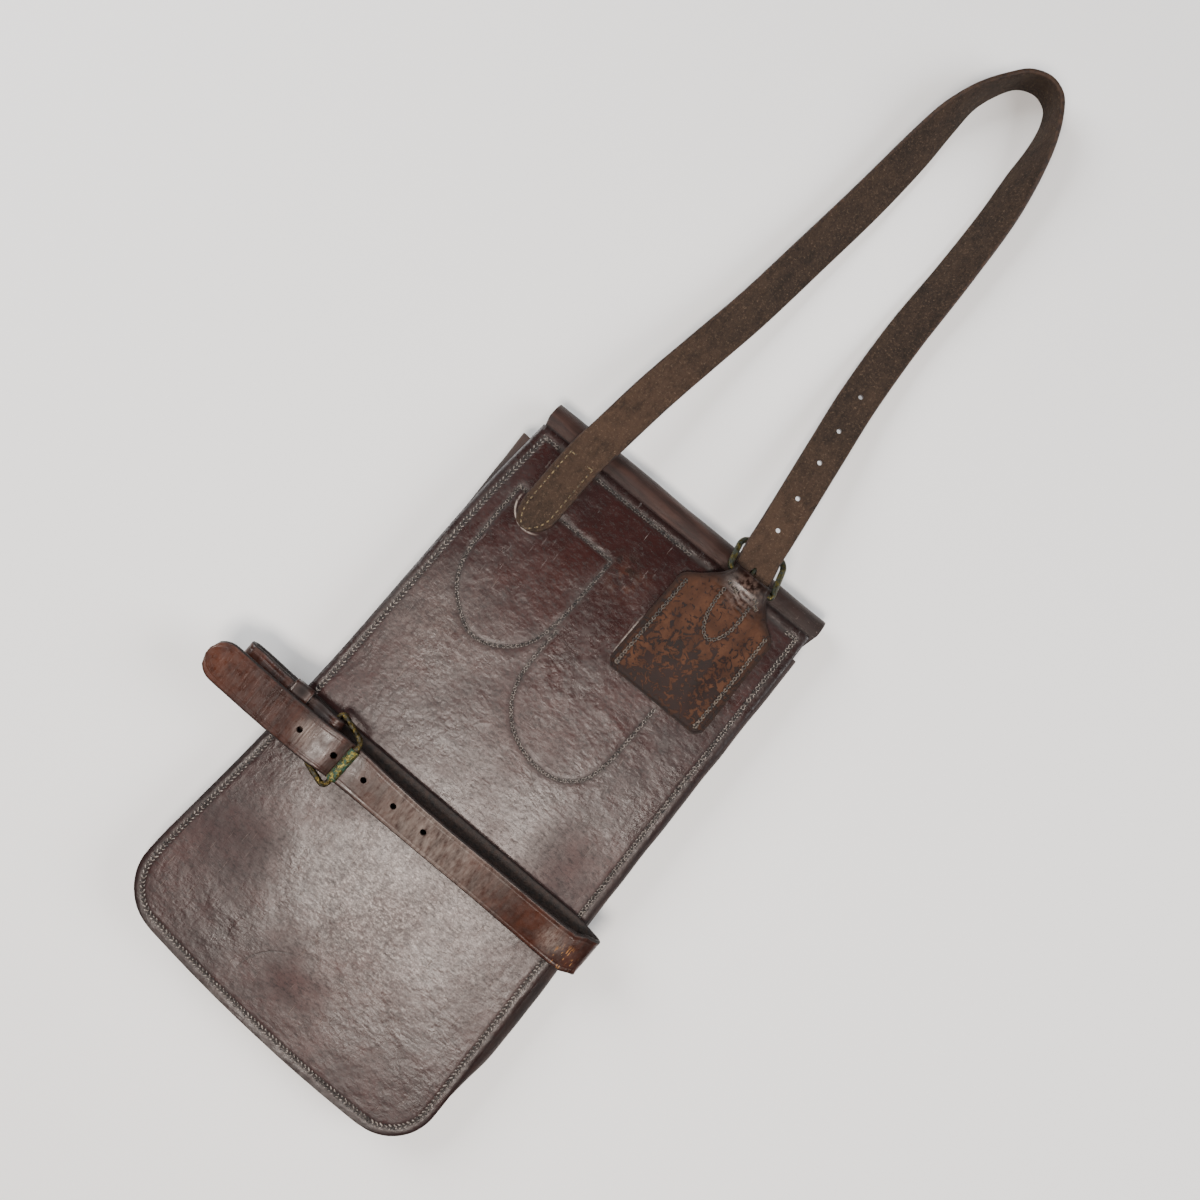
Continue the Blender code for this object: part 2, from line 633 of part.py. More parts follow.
def belt_route():
    """The belt's middle from its folded end, round the bar and both folds, to the tip."""
    rows = [{"x": BELT_TAIL_END_X, "y": BELT_CHAPE_Y, "z": BELT_BAR["z"] - BELT_BAR_LOOP,
             "lean": 0.0}]
    rows.append(dict(rows[0], x=between(BELT_TAIL_END_X, BELT_BAR["x"], 0.5)))
    fold_steps = 7
    for i in range(fold_steps):
        turn = -math.pi / 2 + math.pi * i / fold_steps
        rows.append({"x": BELT_BAR["x"] + BELT_BAR_LOOP * math.cos(turn), "y": BELT_CHAPE_Y,
                     "z": BELT_BAR["z"] + BELT_BAR_LOOP * math.sin(turn), "lean": 0.0})
    rows += smooth_route(BELT_CHAPE, 7.0)
    fold = BELT_LEFT_FOLD
    for i in range(fold_steps + 1):
        turn = math.pi / 2 + math.pi * i / fold_steps
        rows.append({"x": fold["x"] + fold["radius"] * math.cos(turn), "y": fold["y"],
                     "z": fold["z"] + fold["radius"] * math.sin(turn), "lean": 0.0})
    under = list(BELT_UNDER)
    for i in range(BELT_UNDER_STEPS + 1):
        x, y = (between(BELT_UNDER_ENDS[0][c], BELT_UNDER_ENDS[1][c], i / BELT_UNDER_STEPS)
                for c in "xy")
        height = max(panel_top(x, y + side) for side in (-BELT_WIDTH / 2, 0.0, BELT_WIDTH / 2))
        under.append({"x": x, "y": y, "z": height + BELT_UNDER_GAP + BELT_THICKNESS / 2,
                      "lean": 0.0})
    rows += smooth_route(under, 12.0)
    fold = BELT_RIGHT_FOLD
    for i in range(fold_steps + 1):
        turn = -math.pi / 2 + math.pi * i / fold_steps
        rows.append({"x": fold["x"] + fold["radius"] * math.cos(turn), "y": fold["y"],
                     "z": fold["z"] + fold["radius"] * math.sin(turn),
                     "lean": BELT_FOLD_LEAN * i / fold_steps})
    rows += smooth_route(BELT_TOP, 9.0)
    return rows


def belt(material):
    rows = belt_route()
    tip_x = BELT_TOP[-1]["x"]
    middles = [Vector((r["x"], r["y"], r["z"])) for r in rows]
    sides = [Vector((0, math.cos(math.radians(r["lean"])), math.sin(math.radians(r["lean"]))))
             for r in rows]
    half = BELT_WIDTH / 2
    trims = []
    for index, row in enumerate(rows):
        to_tip = row["x"] - tip_x if index > len(rows) // 2 else BELT_WIDTH
        share = min(max(to_tip / BELT_TIP_LENGTH, 0.0), 1.0)
        reach = half * between(BELT_TIP_SHARE, 1.0, math.sqrt(max(1 - (1 - share) ** 2, 0.0)))
        trims.append((-reach, reach))
    piece = band("belt", middles, sides, BELT_THICKNESS, material, trims)
    top = middles[len(middles) * 2 // 3:]
    holes = []
    for number, x in enumerate(BELT_HOLES_X):
        near = min(top, key=lambda m: abs(m.x - x))
        holes.append(upright_guide(f"belt_hole_guide_{number}", Vector((x, near.y, near.z)),
                                   BELT_GUIDE_LENGTH, BELT_HOLE_RADIUS, material))
    bar = (BELT_BAR["x"], BELT_PRONG_END[1], BELT_BAR["z"])
    holes.append(slot_guide("belt_slot_guide", bar, BELT_PRONG_END, material))
    cut(piece, holes)
    return piece


def belt_prong(material):
    start = Vector((BELT_BAR["x"], BELT_PRONG_END[1], BELT_BAR["z"]))
    end = Vector(BELT_PRONG_END)
    start += (end - start).normalized() * (BELT_WIRE_RADIUS + GAP)
    return loft("belt_prong", rod_rings(start, end, PRONG_RADIUS), material)


def belt_roller(material):
    """A tube that turns on the far side of the belt buckle."""
    low, high = BELT_BUCKLE_CORNERS[2], BELT_BUCKLE_CORNERS[3]
    start, end = (Vector((c["x"], c["y"], c["z"])) for c in (low, high))
    middle, forward = (start + end) / 2, (end - start).normalized()
    ends = [middle - forward * ROLLER_LENGTH / 2, middle + forward * ROLLER_LENGTH / 2]
    outer = rod_rings(ends[0], ends[1], ROLLER_RADIUS, 14)
    inner = rod_rings(ends[0], ends[1], BELT_WIRE_RADIUS + GAP, 14)
    return loft("belt_roller", [outer[0], outer[1], inner[1], inner[0]], material, closed=True)


def belt_keeper(material):
    """A flat leather ring round the chape, left of the buckle."""
    half_y = BELT_WIDTH / 2 + KEEPER_PLAY["y"]
    half_z = BELT_THICKNESS / 2 + KEEPER_PLAY["z"]
    t = KEEPER_THICKNESS
    near, far = KEEPER_X

    def ring(x, out):
        return [Vector((x, KEEPER_MIDDLE["y"] + a * (half_y + out),
                        KEEPER_MIDDLE["z"] + b * (half_z + out)))
                for a, b in ((-1, -1), (1, -1), (1, 1), (-1, 1))]

    return loft("belt_keeper", [ring(near, t), ring(far, t), ring(far, 0), ring(near, 0)],
                material, closed=True)


def build_case():
    for thing in list(bpy.data.objects):
        bpy.data.objects.remove(thing)
    back_panel(finish("back panel leather", DARK_BROWN, 0.45))
    front_panel(finish("front panel leather", DARK_BROWN, 0.5))
    gusset(finish("gusset leather", (0.11, 0.055, 0.035), 0.5))
    flap(finish("flap leather", (0.058, 0.036, 0.034), 0.5))
    shoulder_strap(finish("shoulder strap flesh side", (0.088, 0.062, 0.048), 0.85))
    strap_chape(finish("worn patch leather", (0.19, 0.085, 0.045), 0.5))
    wire_frame("strap_buckle", STRAP_BUCKLE_CORNERS, BUCKLE_WIRE_RADIUS,
               finish("strap buckle brass", BRASS, 0.4, 1.0))
    loft("strap_buckle_prong", rod_rings(STRAP_PRONG_START, STRAP_PRONG_END, PRONG_RADIUS),
         finish("strap prong brass", BRASS, 0.45, 1.0))
    belt(finish("belt leather", BROWN, 0.45))
    wire_frame("belt_buckle", BELT_BUCKLE_CORNERS, BELT_WIRE_RADIUS,
               finish("belt buckle brass", BRASS, 0.4, 1.0))
    belt_roller(finish("roller brass", (0.30, 0.36, 0.20), 0.5, 1.0))
    belt_prong(finish("belt prong brass", BRASS, 0.45, 1.0))
    belt_keeper(finish("keeper leather", (0.05, 0.033, 0.03), 0.5))


build_case()
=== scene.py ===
"""Looks of a worn leather dispatch case that lies on its flap, back panel up.

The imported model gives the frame, and every leather piece is modelled again round it with a fine
mesh, rounded edges, creases and stitches. Lengths are millimetres until a mesh is finished.
"""
import math
from functools import cached_property

import bmesh
import bpy
from mathutils import Matrix, Vector, noise
from mathutils.kdtree import KDTree


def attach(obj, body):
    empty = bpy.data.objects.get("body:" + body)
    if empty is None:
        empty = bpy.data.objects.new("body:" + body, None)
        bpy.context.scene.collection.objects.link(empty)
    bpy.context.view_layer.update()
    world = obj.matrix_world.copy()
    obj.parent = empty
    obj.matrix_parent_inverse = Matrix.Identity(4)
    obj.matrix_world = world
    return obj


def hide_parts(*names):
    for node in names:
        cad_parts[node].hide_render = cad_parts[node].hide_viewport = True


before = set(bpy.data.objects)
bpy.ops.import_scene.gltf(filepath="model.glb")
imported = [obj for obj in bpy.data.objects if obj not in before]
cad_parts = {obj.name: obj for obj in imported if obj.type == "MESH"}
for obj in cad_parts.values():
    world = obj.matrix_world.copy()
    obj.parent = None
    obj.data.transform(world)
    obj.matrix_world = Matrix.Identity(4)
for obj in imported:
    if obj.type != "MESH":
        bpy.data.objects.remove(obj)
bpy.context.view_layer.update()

MM = 0.001
SHARP_ANGLE = 50.0
CLEAR = 0.3


def table(columns, *rows):
    """Rows of numbers under named columns."""
    return [dict(zip(columns.split(), row)) for row in rows]


# The body's outline and walls, as in the model
BACK_TOP_Z = 26.0
BACK_THICKNESS = 3.0
FLAP_THICKNESS = 2.6
FRONT_THICKNESS = 2.2
GUSSET_THICKNESS = 1.8
CROWN_HEIGHT = 1.2
CROWN_END = 0.76
TOP_EDGE_Y = 203.0
TOP_EDGE_SLOPE = 0.0095
BOTTOM_EDGE = {"middle_y": -204.0, "slope": -0.0598, "curve": 0.000448}
LEFT_CORNER_RADIUS = 30.0
RIGHT_CORNER_RADIUS = 32.0
BODY_EDGES = table(
    "up left right",
    (0.00, -126.3, 115.6), (0.10, -125.8, 115.6), (0.20, -122.2, 114.3), (0.33, -117.5, 112.8),
    (0.50, -113.2, 111.6), (0.70, -111.0, 109.5), (0.85, -109.3, 108.3), (1.00, -104.6, 106.6),
)
FRONT_END = 0.955
GUSSET_TOP_Y = 191.0
GUSSET_FLANGE = 9.0
GUSSET_INSET = 0.7
GUSSET_WAVE = {"height": 0.5, "length": 23.0}
GUSSET_REST_BULGE = 0.4
LEFT_MOUTH_FLARE = 7.0
LEFT_FLARE_START_Y = 115.0
RIGHT_BULGE = table(
    "y out",
    (-180.0, 0.4), (-165.0, 1.4), (-150.0, 3.4), (-130.0, 6.4), (-110.0, 7.6), (-60.0, 7.6),
    (-20.0, 4.6), (60.0, 4.2), (190.0, 4.6),
)
FLAP_START_Y = 193.0
FLAP_ROLL_Y = 208.6
FLAP_END_Y = -150.0
FLAP_LEFT_X = -105.5
FLAP_RIGHT_X = 110.0
FLAP_SIDE_INSET = 1.5
FLAP_CORNER_RADIUS = 45.0
FLAP_LEFT_LIMIT_X = -123.0
FLAP_NARROWING = {"start_y": 150.0, "length": 45.0}
FLAP_SEAM_DRAW_IN = 4.0
ROLL_HEIGHT = BACK_TOP_Z - BACK_THICKNESS - CLEAR
ROLL_DENT = 0.7

# Shoulder strap: the inner edge from its sewn end round to its tail, and its lean
STRAP_WIDTH = 25.4
STRAP_THICKNESS = 3.2
STRAP_HOLE_RADIUS = 1.55
STRAP_POINT_LENGTH = 17.0
STRAP_POINT_ACROSS = (14.4, 15.6)
STRAP_PRONG_HOLE_Y = 217.0
STRAP_HOLE_SLOPE = 0.985
STRAP_PUNCH_REACH = 7.0
STRAP_CREASE_INSET = 2.8
STRAP_STITCHES = {"inset": 3.9, "length": 57.0, "pitch": 4.1, "size": (3.0, 0.95, 0.8),
                  "bar size": (2.4, 0.9, 0.8)}
STRAP_HOLE_PITCH = 25.4
STRAP_OPEN_HOLES = 5
STRAP_ROUTE = table(
    "x y z lean",
    (-60.0, 143.5, 26.3, 0.0), (-59.6, 170.0, 26.3, 0.0), (-58.8, 200.0, 26.4, 0.0),
    (-56.2, 220.0, 25.4, 0.0), (-51.9, 258.4, 20.0, 8.0), (-45.9, 299.4, 13.0, 15.0),
    (-39.5, 340.5, 8.0, 20.0), (-33.5, 392.0, 4.0, 23.0), (-27.8, 443.5, 1.6, 26.0),
    (-25.6, 484.4, 0.5, 36.0), (-26.2, 515.0, 0.3, 54.0), (-25.8, 535.0, 0.3, 74.0),
    (-20.0, 552.5, 0.3, 86.0), (-12.0, 564.2, 0.3, 90.0), (1.0, 569.0, 0.3, 90.0),
    (12.8, 564.4, 0.3, 87.0), (18.9, 552.5, 0.3, 80.0), (21.3, 535.3, 0.3, 66.0),
    (21.4, 515.0, 0.3, 50.0), (23.0, 484.6, 0.3, 38.0), (23.4, 444.0, 0.6, 30.0),
    (22.2, 392.4, 3.0, 14.0), (24.7, 340.3, 9.0, 5.0), (29.5, 298.9, 15.0, 2.0),
    (34.6, 258.2, 21.0, 0.0), (37.0, 238.0, 24.6, 0.0), (38.8, 222.0, 26.7, 0.0),
    (41.6, 210.0, 26.7, 0.0), (42.8, 196.0, 26.3, 0.0), (43.4, 172.0, 26.3, 0.0),
    (43.4, 152.0, 26.3, 0.0),
)

# Chape of the shoulder strap
CHAPE_THICKNESS = 2.2
CHAPE_MIDDLE_X = 55.3
CHAPE_TOP_HALF_SPREAD = 13.5
CHAPE_FOLD_SPREAD = 25.5
CHAPE_BOTTOM_Y = 112.5
CHAPE_BOTTOM_Z = 27.5
CHAPE_BOTTOM_HALF = 33
CHAPE_PUCKERS = {"y": 190.5, "reach": 6.0, "half": 36.0, "depth": 1.1, "pitch": 3.4}
CHAPE_DOME = {"y": 201.0, "reach": 3.2, "half": 18.0, "height": 0.5}
CHAPE_CREASE = {"inset": 1.9, "width": 0.5, "depth": 0.28}
BAR_Y = 206.8
BAR_Z = 34.3
CHAPE_LOOP_RADIUS = 3.4
CHAPE_UNDER = table(
    "y z half",
    (164.0, 30.95, 11.0), (182.0, 30.95, 11.0), (197.0, 30.9, 12.5),
)
CHAPE_OVER = table(
    "y z half",
    (201.0, 36.9, 16.5), (194.0, 35.3, 24.5), (186.0, 34.0, 35.0), (176.0, 33.6, 36.0),
    (164.0, 33.5, 36.2), (156.0, 32.6, 36.4), (146.0, 31.2, 36.6), (134.0, 29.6, 36.8),
    (122.0, 28.2, 37.0), (116.5, 27.6, 36.6),
)

# Brass of the shoulder strap
LOOP_STEP = 1.5
BUCKLE_WIRE_RADIUS = 2.0
STRAP_BUCKLE_CORNERS = table(
    "x y z round",
    (39.0, 206.8, 34.3, 3.0), (72.0, 206.8, 34.3, 3.0), (66.2, 231.0, 23.4, 7.0),
    (35.2, 227.2, 23.4, 7.0),
)
PRONG_RADIUS = 1.2
PRONG_HOLE_RADIUS = 1.75
STRAP_PRONG_START = (53.98, 208.75, 33.02)
STRAP_PRONG_END = (51.2, 233.0, 16.3)

# Waist belt: its middle from the folded chape end round to the tip
BELT_WIDTH = 27.0
BELT_THICKNESS = 3.2
BELT_HOLE_RADIUS = 2.1
BELT_PUNCH_REACH = 2.6
BELT_HOLES_X = [-98.5, -73.0, -49.8, -25.7, -1.6]
BELT_TIP_LENGTH = 13.0
BELT_BAR = {"x": -85.5, "z": 36.1}
BELT_BAR_LOOP = 3.9
BELT_CHAPE_Y = -29.5
BELT_CREASE_INSET = 3.3
BELT_CHAPE = table(
    "x y z lean",
    (-85.5, -29.5, 40.0, 0.0), (-93.0, -29.5, 38.2, 0.0), (-103.0, -29.5, 36.0, 0.0),
    (-121.0, -29.5, 35.4, 0.0), (-134.0, -29.5, 33.4, 0.0), (-146.0, -29.0, 31.0, 0.0),
)
BELT_LEFT_FOLD = {"x": -152.5, "z": 27.2, "radius": 3.6, "y": -29.0}
BELT_UNDER = table(
    "x y z lean",
    (-146.0, -29.0, 23.8, 0.0), (-132.0, -29.5, 25.2, 0.0), (-118.0, -29.5, 28.2, 0.0),
)
BELT_UNDER_STEPS = 8
BELT_UNDER_X = (-110.0, 104.0)
BELT_UNDER_Y = (-29.5, -32.5)
BELT_RIGHT_FOLD = {"x": 119.6, "z": 31.9, "radius": 3.8, "y": -34.8}
BELT_TOP = table(
    "x y z lean",
    (112.0, -38.2, 36.6, 10.0), (98.0, -38.4, 37.0, 15.0), (50.0, -37.6, 37.4, 18.0),
    (-5.0, -37.2, 37.6, 18.0), (-40.0, -36.2, 37.8, 12.0), (-64.5, -35.2, 38.6, 2.0),
    (-76.0, -34.8, 42.3, 0.0), (-85.5, -35.2, 43.8, 0.0), (-97.0, -35.4, 43.4, 0.0),
    (-113.0, -35.8, 41.6, 0.0), (-130.0, -35.7, 40.4, 0.0), (-150.0, -35.3, 39.0, 0.0),
    (-173.0, -34.8, 37.6, 0.0),
)
BELT_TAIL_END_X = -103.0
BELT_WIRE_RADIUS = 1.9
BELT_BUCKLE_CORNERS = table(
    "x y z round",
    (-85.5, -12.6, 36.1, 4.0), (-85.5, -49.4, 36.1, 4.0), (-65.5, -53.2, 44.7, 5.0),
    (-64.1, -17.8, 44.7, 5.0),
)
ROLLER_RADIUS = 3.3
ROLLER_LENGTH = 23.0
BELT_PRONG_START = (BELT_BAR["x"], -33.4, BELT_BAR["z"])
BELT_PRONG_END = (-58.0, -33.4, 32.6)
KEEPER_X = (-120.0, -106.0)
KEEPER_THICKNESS = 1.6
KEEPER_Z = 35.5
KEEPER_ROUND = 1.2
KEEPER_CREASE_INSET = 1.6

# Stitch lines on the back panel, as read from the photograph
BORDER_INSET = 6.0
POCKET_LINES = {
    "left pocket": [(-91.5, 163.0), (-91.8, 135.0), (-90.5, 109.0), (-84.0, 92.5), (-70.5, 79.5),
                    (-55.5, 73.0), (-40.0, 77.5), (-26.5, 90.0), (-20.5, 108.0), (-18.8, 135.0),
                    (-18.5, 163.0)],
    "right pocket": [(-17.0, 108.0), (-17.6, 90.0), (-16.0, 70.0), (-9.5, 55.0), (3.5, 42.5),
                     (23.0, 35.8), (40.0, 37.0), (53.5, 46.5), (59.0, 62.0), (60.3, 82.0),
                     (60.6, 108.5)],
}
STITCH_PITCH = 3.0
CHAIN_PITCH = 1.45
# Of each stitch its length, width and height, how far aside it lies and its slant
STITCHES = {
    "border": ((2.9, 1.0, 1.3), 0.95, 36.0),
    "right border": ((2.0, 0.8, 1.2), 0.8, 42.0),
    "top border": ((1.9, 0.8, 1.1), 0.7, 38.0),
    "pocket": ((1.8, 0.65, 1.05), 0.6, 38.0),
    "patch": ((2.3, 1.0, 1.0), 0.6, 30.0),
}
# Where the strap's end and the patch cover the panel, and where the border is a chain
COVERED = table("left right bottom", (-87.0, -57.5, 145.0), (18.0, 93.0, 112.0))
CHAIN_SEAM = {"left": 60.0, "bottom": -45.0}

# Wear of the panel, the belt and the patch
GROOVE_DEPTH = 0.4
GROOVE_REACH = 1.6
RIM_REACH = 4.0
UNDULATION = 0.55
DENT_SIZE = (38.0, 52.0)
COLUMN_CROWDING = 0.09
PANEL_THINNING = 0.6
EDGE_ROLL = 0.7
EDGE_ROLL_REACH = 1.3
CREASE_DEPTH = 0.2
CREASE_WIDTH = 1.2
STRAP_CROWN = 0.18


def between(low, high, share):
    return low + (high - low) * share


def clamp(value, low=0.0, high=1.0):
    return min(max(value, low), high)


def smooth_step(value):
    value = clamp(value)
    return value * value * (3 - 2 * value)


def read_curve(rows, along, column, place):
    """Smooth curve through the rows of a table, with the slope of their neighbours."""
    last = len(rows) - 1
    sign = 1.0 if rows[last][along] > rows[0][along] else -1.0
    row = 0
    while row < last - 1 and (place - rows[row + 1][along]) * sign > 0:
        row += 1

    def slope(index):
        low, high = rows[max(index - 1, 0)], rows[min(index + 1, last)]
        return (high[column] - low[column]) / (high[along] - low[along])

    start, end = rows[row], rows[row + 1]
    span = end[along] - start[along]
    t = clamp((place - start[along]) / span)
    return ((2 * t**3 - 3 * t**2 + 1) * start[column] + (t**3 - 2 * t**2 + t) * span * slope(row)
            + (3 * t**2 - 2 * t**3) * end[column] + (t**3 - t**2) * span * slope(row + 1))


def smooth_route(rows, step):
    """Points every few millimetres along a smooth route, each with all of its columns."""
    columns = list(rows[0])
    places = [c for c in "xyz" if c in columns]
    distance = 0.0
    marked = []
    for index, row in enumerate(rows):
        if index:
            before = rows[index - 1]
            distance += math.dist([row[c] for c in places], [before[c] for c in places])
        marked.append(dict(row, along=distance))
    count = max(2, round(distance / step))
    return [{c: read_curve(marked, "along", c, distance * i / count) for c in columns}
            for i in range(count + 1)]


def bottom_y(x):
    return BOTTOM_EDGE["middle_y"] + BOTTOM_EDGE["slope"] * x + BOTTOM_EDGE["curve"] * x * x


def top_y(x):
    return TOP_EDGE_Y + TOP_EDGE_SLOPE * x


def corner_cut(distance, radius):
    """How far a round corner draws the side in at a distance from the end edge."""
    if distance >= radius:
        return 0.0
    return radius - math.sqrt(max(radius**2 - (radius - distance)**2, 0.0))


def body_side(side, up):
    """A point of the body's outline on its left or right edge."""
    x = read_curve(BODY_EDGES, "up", side, up)
    length = top_y(x) - bottom_y(x)
    radius = LEFT_CORNER_RADIUS if side == "left" else RIGHT_CORNER_RADIUS
    inward = corner_cut(up * length, radius)
    x += inward if side == "left" else -inward
    return x, between(bottom_y(x), top_y(x), up)


def panel_top(x, y):
    """Height of the model's back panel: flat at its rim and under the straps."""
    up = (y - bottom_y(x)) / (top_y(x) - bottom_y(x))
    if not 0.0 < up < CROWN_END:
        return BACK_TOP_Z
    left, right = (read_curve(BODY_EDGES, "up", side, up) for side in ("left", "right"))
    across = min(abs((2 * x - left - right) / (right - left)), 1.0)
    return BACK_TOP_Z + CROWN_HEIGHT * (1 - across**4) * math.sin(math.pi * up / CROWN_END) ** 2


# Materials


def colour(text):
    """An sRGB hex value as linear colour."""
    parts = [int(text[i:i + 2], 16) / 255 for i in (1, 3, 5)]
    return (*[p / 12.92 if p <= 0.04045 else ((p + 0.055) / 1.055) ** 2.4 for p in parts], 1.0)


def per_metre(size_mm):
    """Texture scale whose features have a size in millimetres."""
    return 1.0 / (size_mm * MM)


class Finish:
    """A procedural finish in the making, with its colour and its relief so far.

    A share says where something shows: 1 for fully, 0 for not at all.
    """

    def __init__(self, name, ground):
        self.material = bpy.data.materials.new(name)
        self.material.use_nodes = True
        self.tree = self.material.node_tree
        self.base = ground
        self.relief = None

    def connect(self, socket, value):
        """Gives a socket a link, an sRGB hex colour or numbers."""
        if isinstance(value, bpy.types.NodeSocket):
            self.tree.links.new(value, socket)
        else:
            socket.default_value = colour(value) if isinstance(value, str) else value

    def add(self, kind, output, inputs=None, **settings):
        """Adds one node with its settings and inputs, and returns one of its outputs."""
        node = self.tree.nodes.new("ShaderNode" + kind)
        for name, value in settings.items():
            setattr(node, name, value)
        for name, value in (inputs or {}).items():
            self.connect(node.inputs[name], value)
        return node.outputs[output]

    def stretched(self, stretch=(1.0, 1.0, 1.0), turn=0.0):
        """Places on the case, turned about the upright and stretched."""
        return self.add("Mapping", "Vector", {
            "Vector": self.add("TexCoord", "Object"), "Scale": stretch,
            "Rotation": (0.0, 0.0, turn)})

    @cached_property
    def place(self):
        return self.stretched()

    def pattern(self, size_mm, detail=4.0, rough=0.55, low=0.35, high=0.65, place=None):
        """Share of noise whose blotches have a real size."""
        cloud = self.add("TexNoise", "Fac", {
            "Vector": place or self.place, "Scale": per_metre(size_mm), "Detail": detail,
            "Roughness": rough})
        return self.add("MapRange", "Result", {"Value": cloud, "From Min": low, "From Max": high})

    def distance_to(self, x, y):
        """Distance from an upright line through a place on the case, in metres."""
        flat = self.stretched((1.0, 1.0, 0.0))
        return self.add("VectorMath", "Value", {0: flat, 1: (x * MM, y * MM, 0.0)},
                        operation="DISTANCE")

    def near(self, x, y, reach, soft=1.0):
        """Share of 1 at a place on the case that fades to 0 at a reach, in millimetres."""
        return self.add("MapRange", "Result", {
            "Value": self.distance_to(x, y), "From Min": reach * MM,
            "From Max": reach * MM * (1.0 - soft)}, interpolation_type="SMOOTHSTEP")

    def arc(self, x, y, radius, width):
        """Share of a thin line along a circle on the case, in millimetres."""
        aside = self.joined("SUBTRACT", self.distance_to(x, y), radius * MM)
        aside = self.add("Math", 0, {0: aside}, operation="ABSOLUTE")
        return self.add("MapRange", "Result", {
            "Value": aside, "From Min": width * MM, "From Max": 0.0},
            interpolation_type="SMOOTHSTEP")

    def joined(self, operation, first, *others):
        """Several shares made one: MULTIPLY where all meet, MAXIMUM where any lies."""
        for other in others:
            first = self.add("Math", 0, {0: first, 1: other}, operation=operation)
        return first

    def varied(self, value, *changes):
        """A value that changes by an amount where a share shows; changes list both."""
        for amount, share in changes:
            value = self.add("Math", 0, {0: share, 1: amount, 2: value}, operation="MULTIPLY_ADD")
        return value

    def mixed(self, under, over, *shares):
        """One colour over another, where all the shares meet."""
        return self.add("Mix", 2, {0: self.joined("MULTIPLY", *shares), 6: under, 7: over},
                        data_type="RGBA")

    def coat(self, over, *shares):
        self.base = self.mixed(self.base, over, *shares)

    def raised(self, share, depth_mm):
        """Raises the surface by a real depth where the share is 1."""
        inputs = {"Height": share, "Distance": depth_mm * MM, "Strength": 1.0}
        if self.relief is not None:
            inputs["Normal"] = self.relief
        self.relief = self.add("Bump", "Normal", inputs)

    def grain(self, pore_mm, depth_mm):
        """Fine pebbled grain: cells of the real pore size."""
        cells = self.add("TexVoronoi", "Distance", {
            "Vector": self.place, "Scale": per_metre(pore_mm), "Randomness": 0.9},
            feature="SMOOTH_F1")
        self.raised(cells, depth_mm)

    def done(self, rough, specular=0.5, metallic=0.0):
        shader = self.tree.nodes["Principled BSDF"]
        values = {"Base Color": self.base, "Roughness": rough, "Specular IOR Level": specular,
                  "Metallic": metallic}
        if self.relief is not None:
            values["Normal"] = self.relief
        for name, value in values.items():
            self.connect(shader.inputs[name], value)
        return self.material


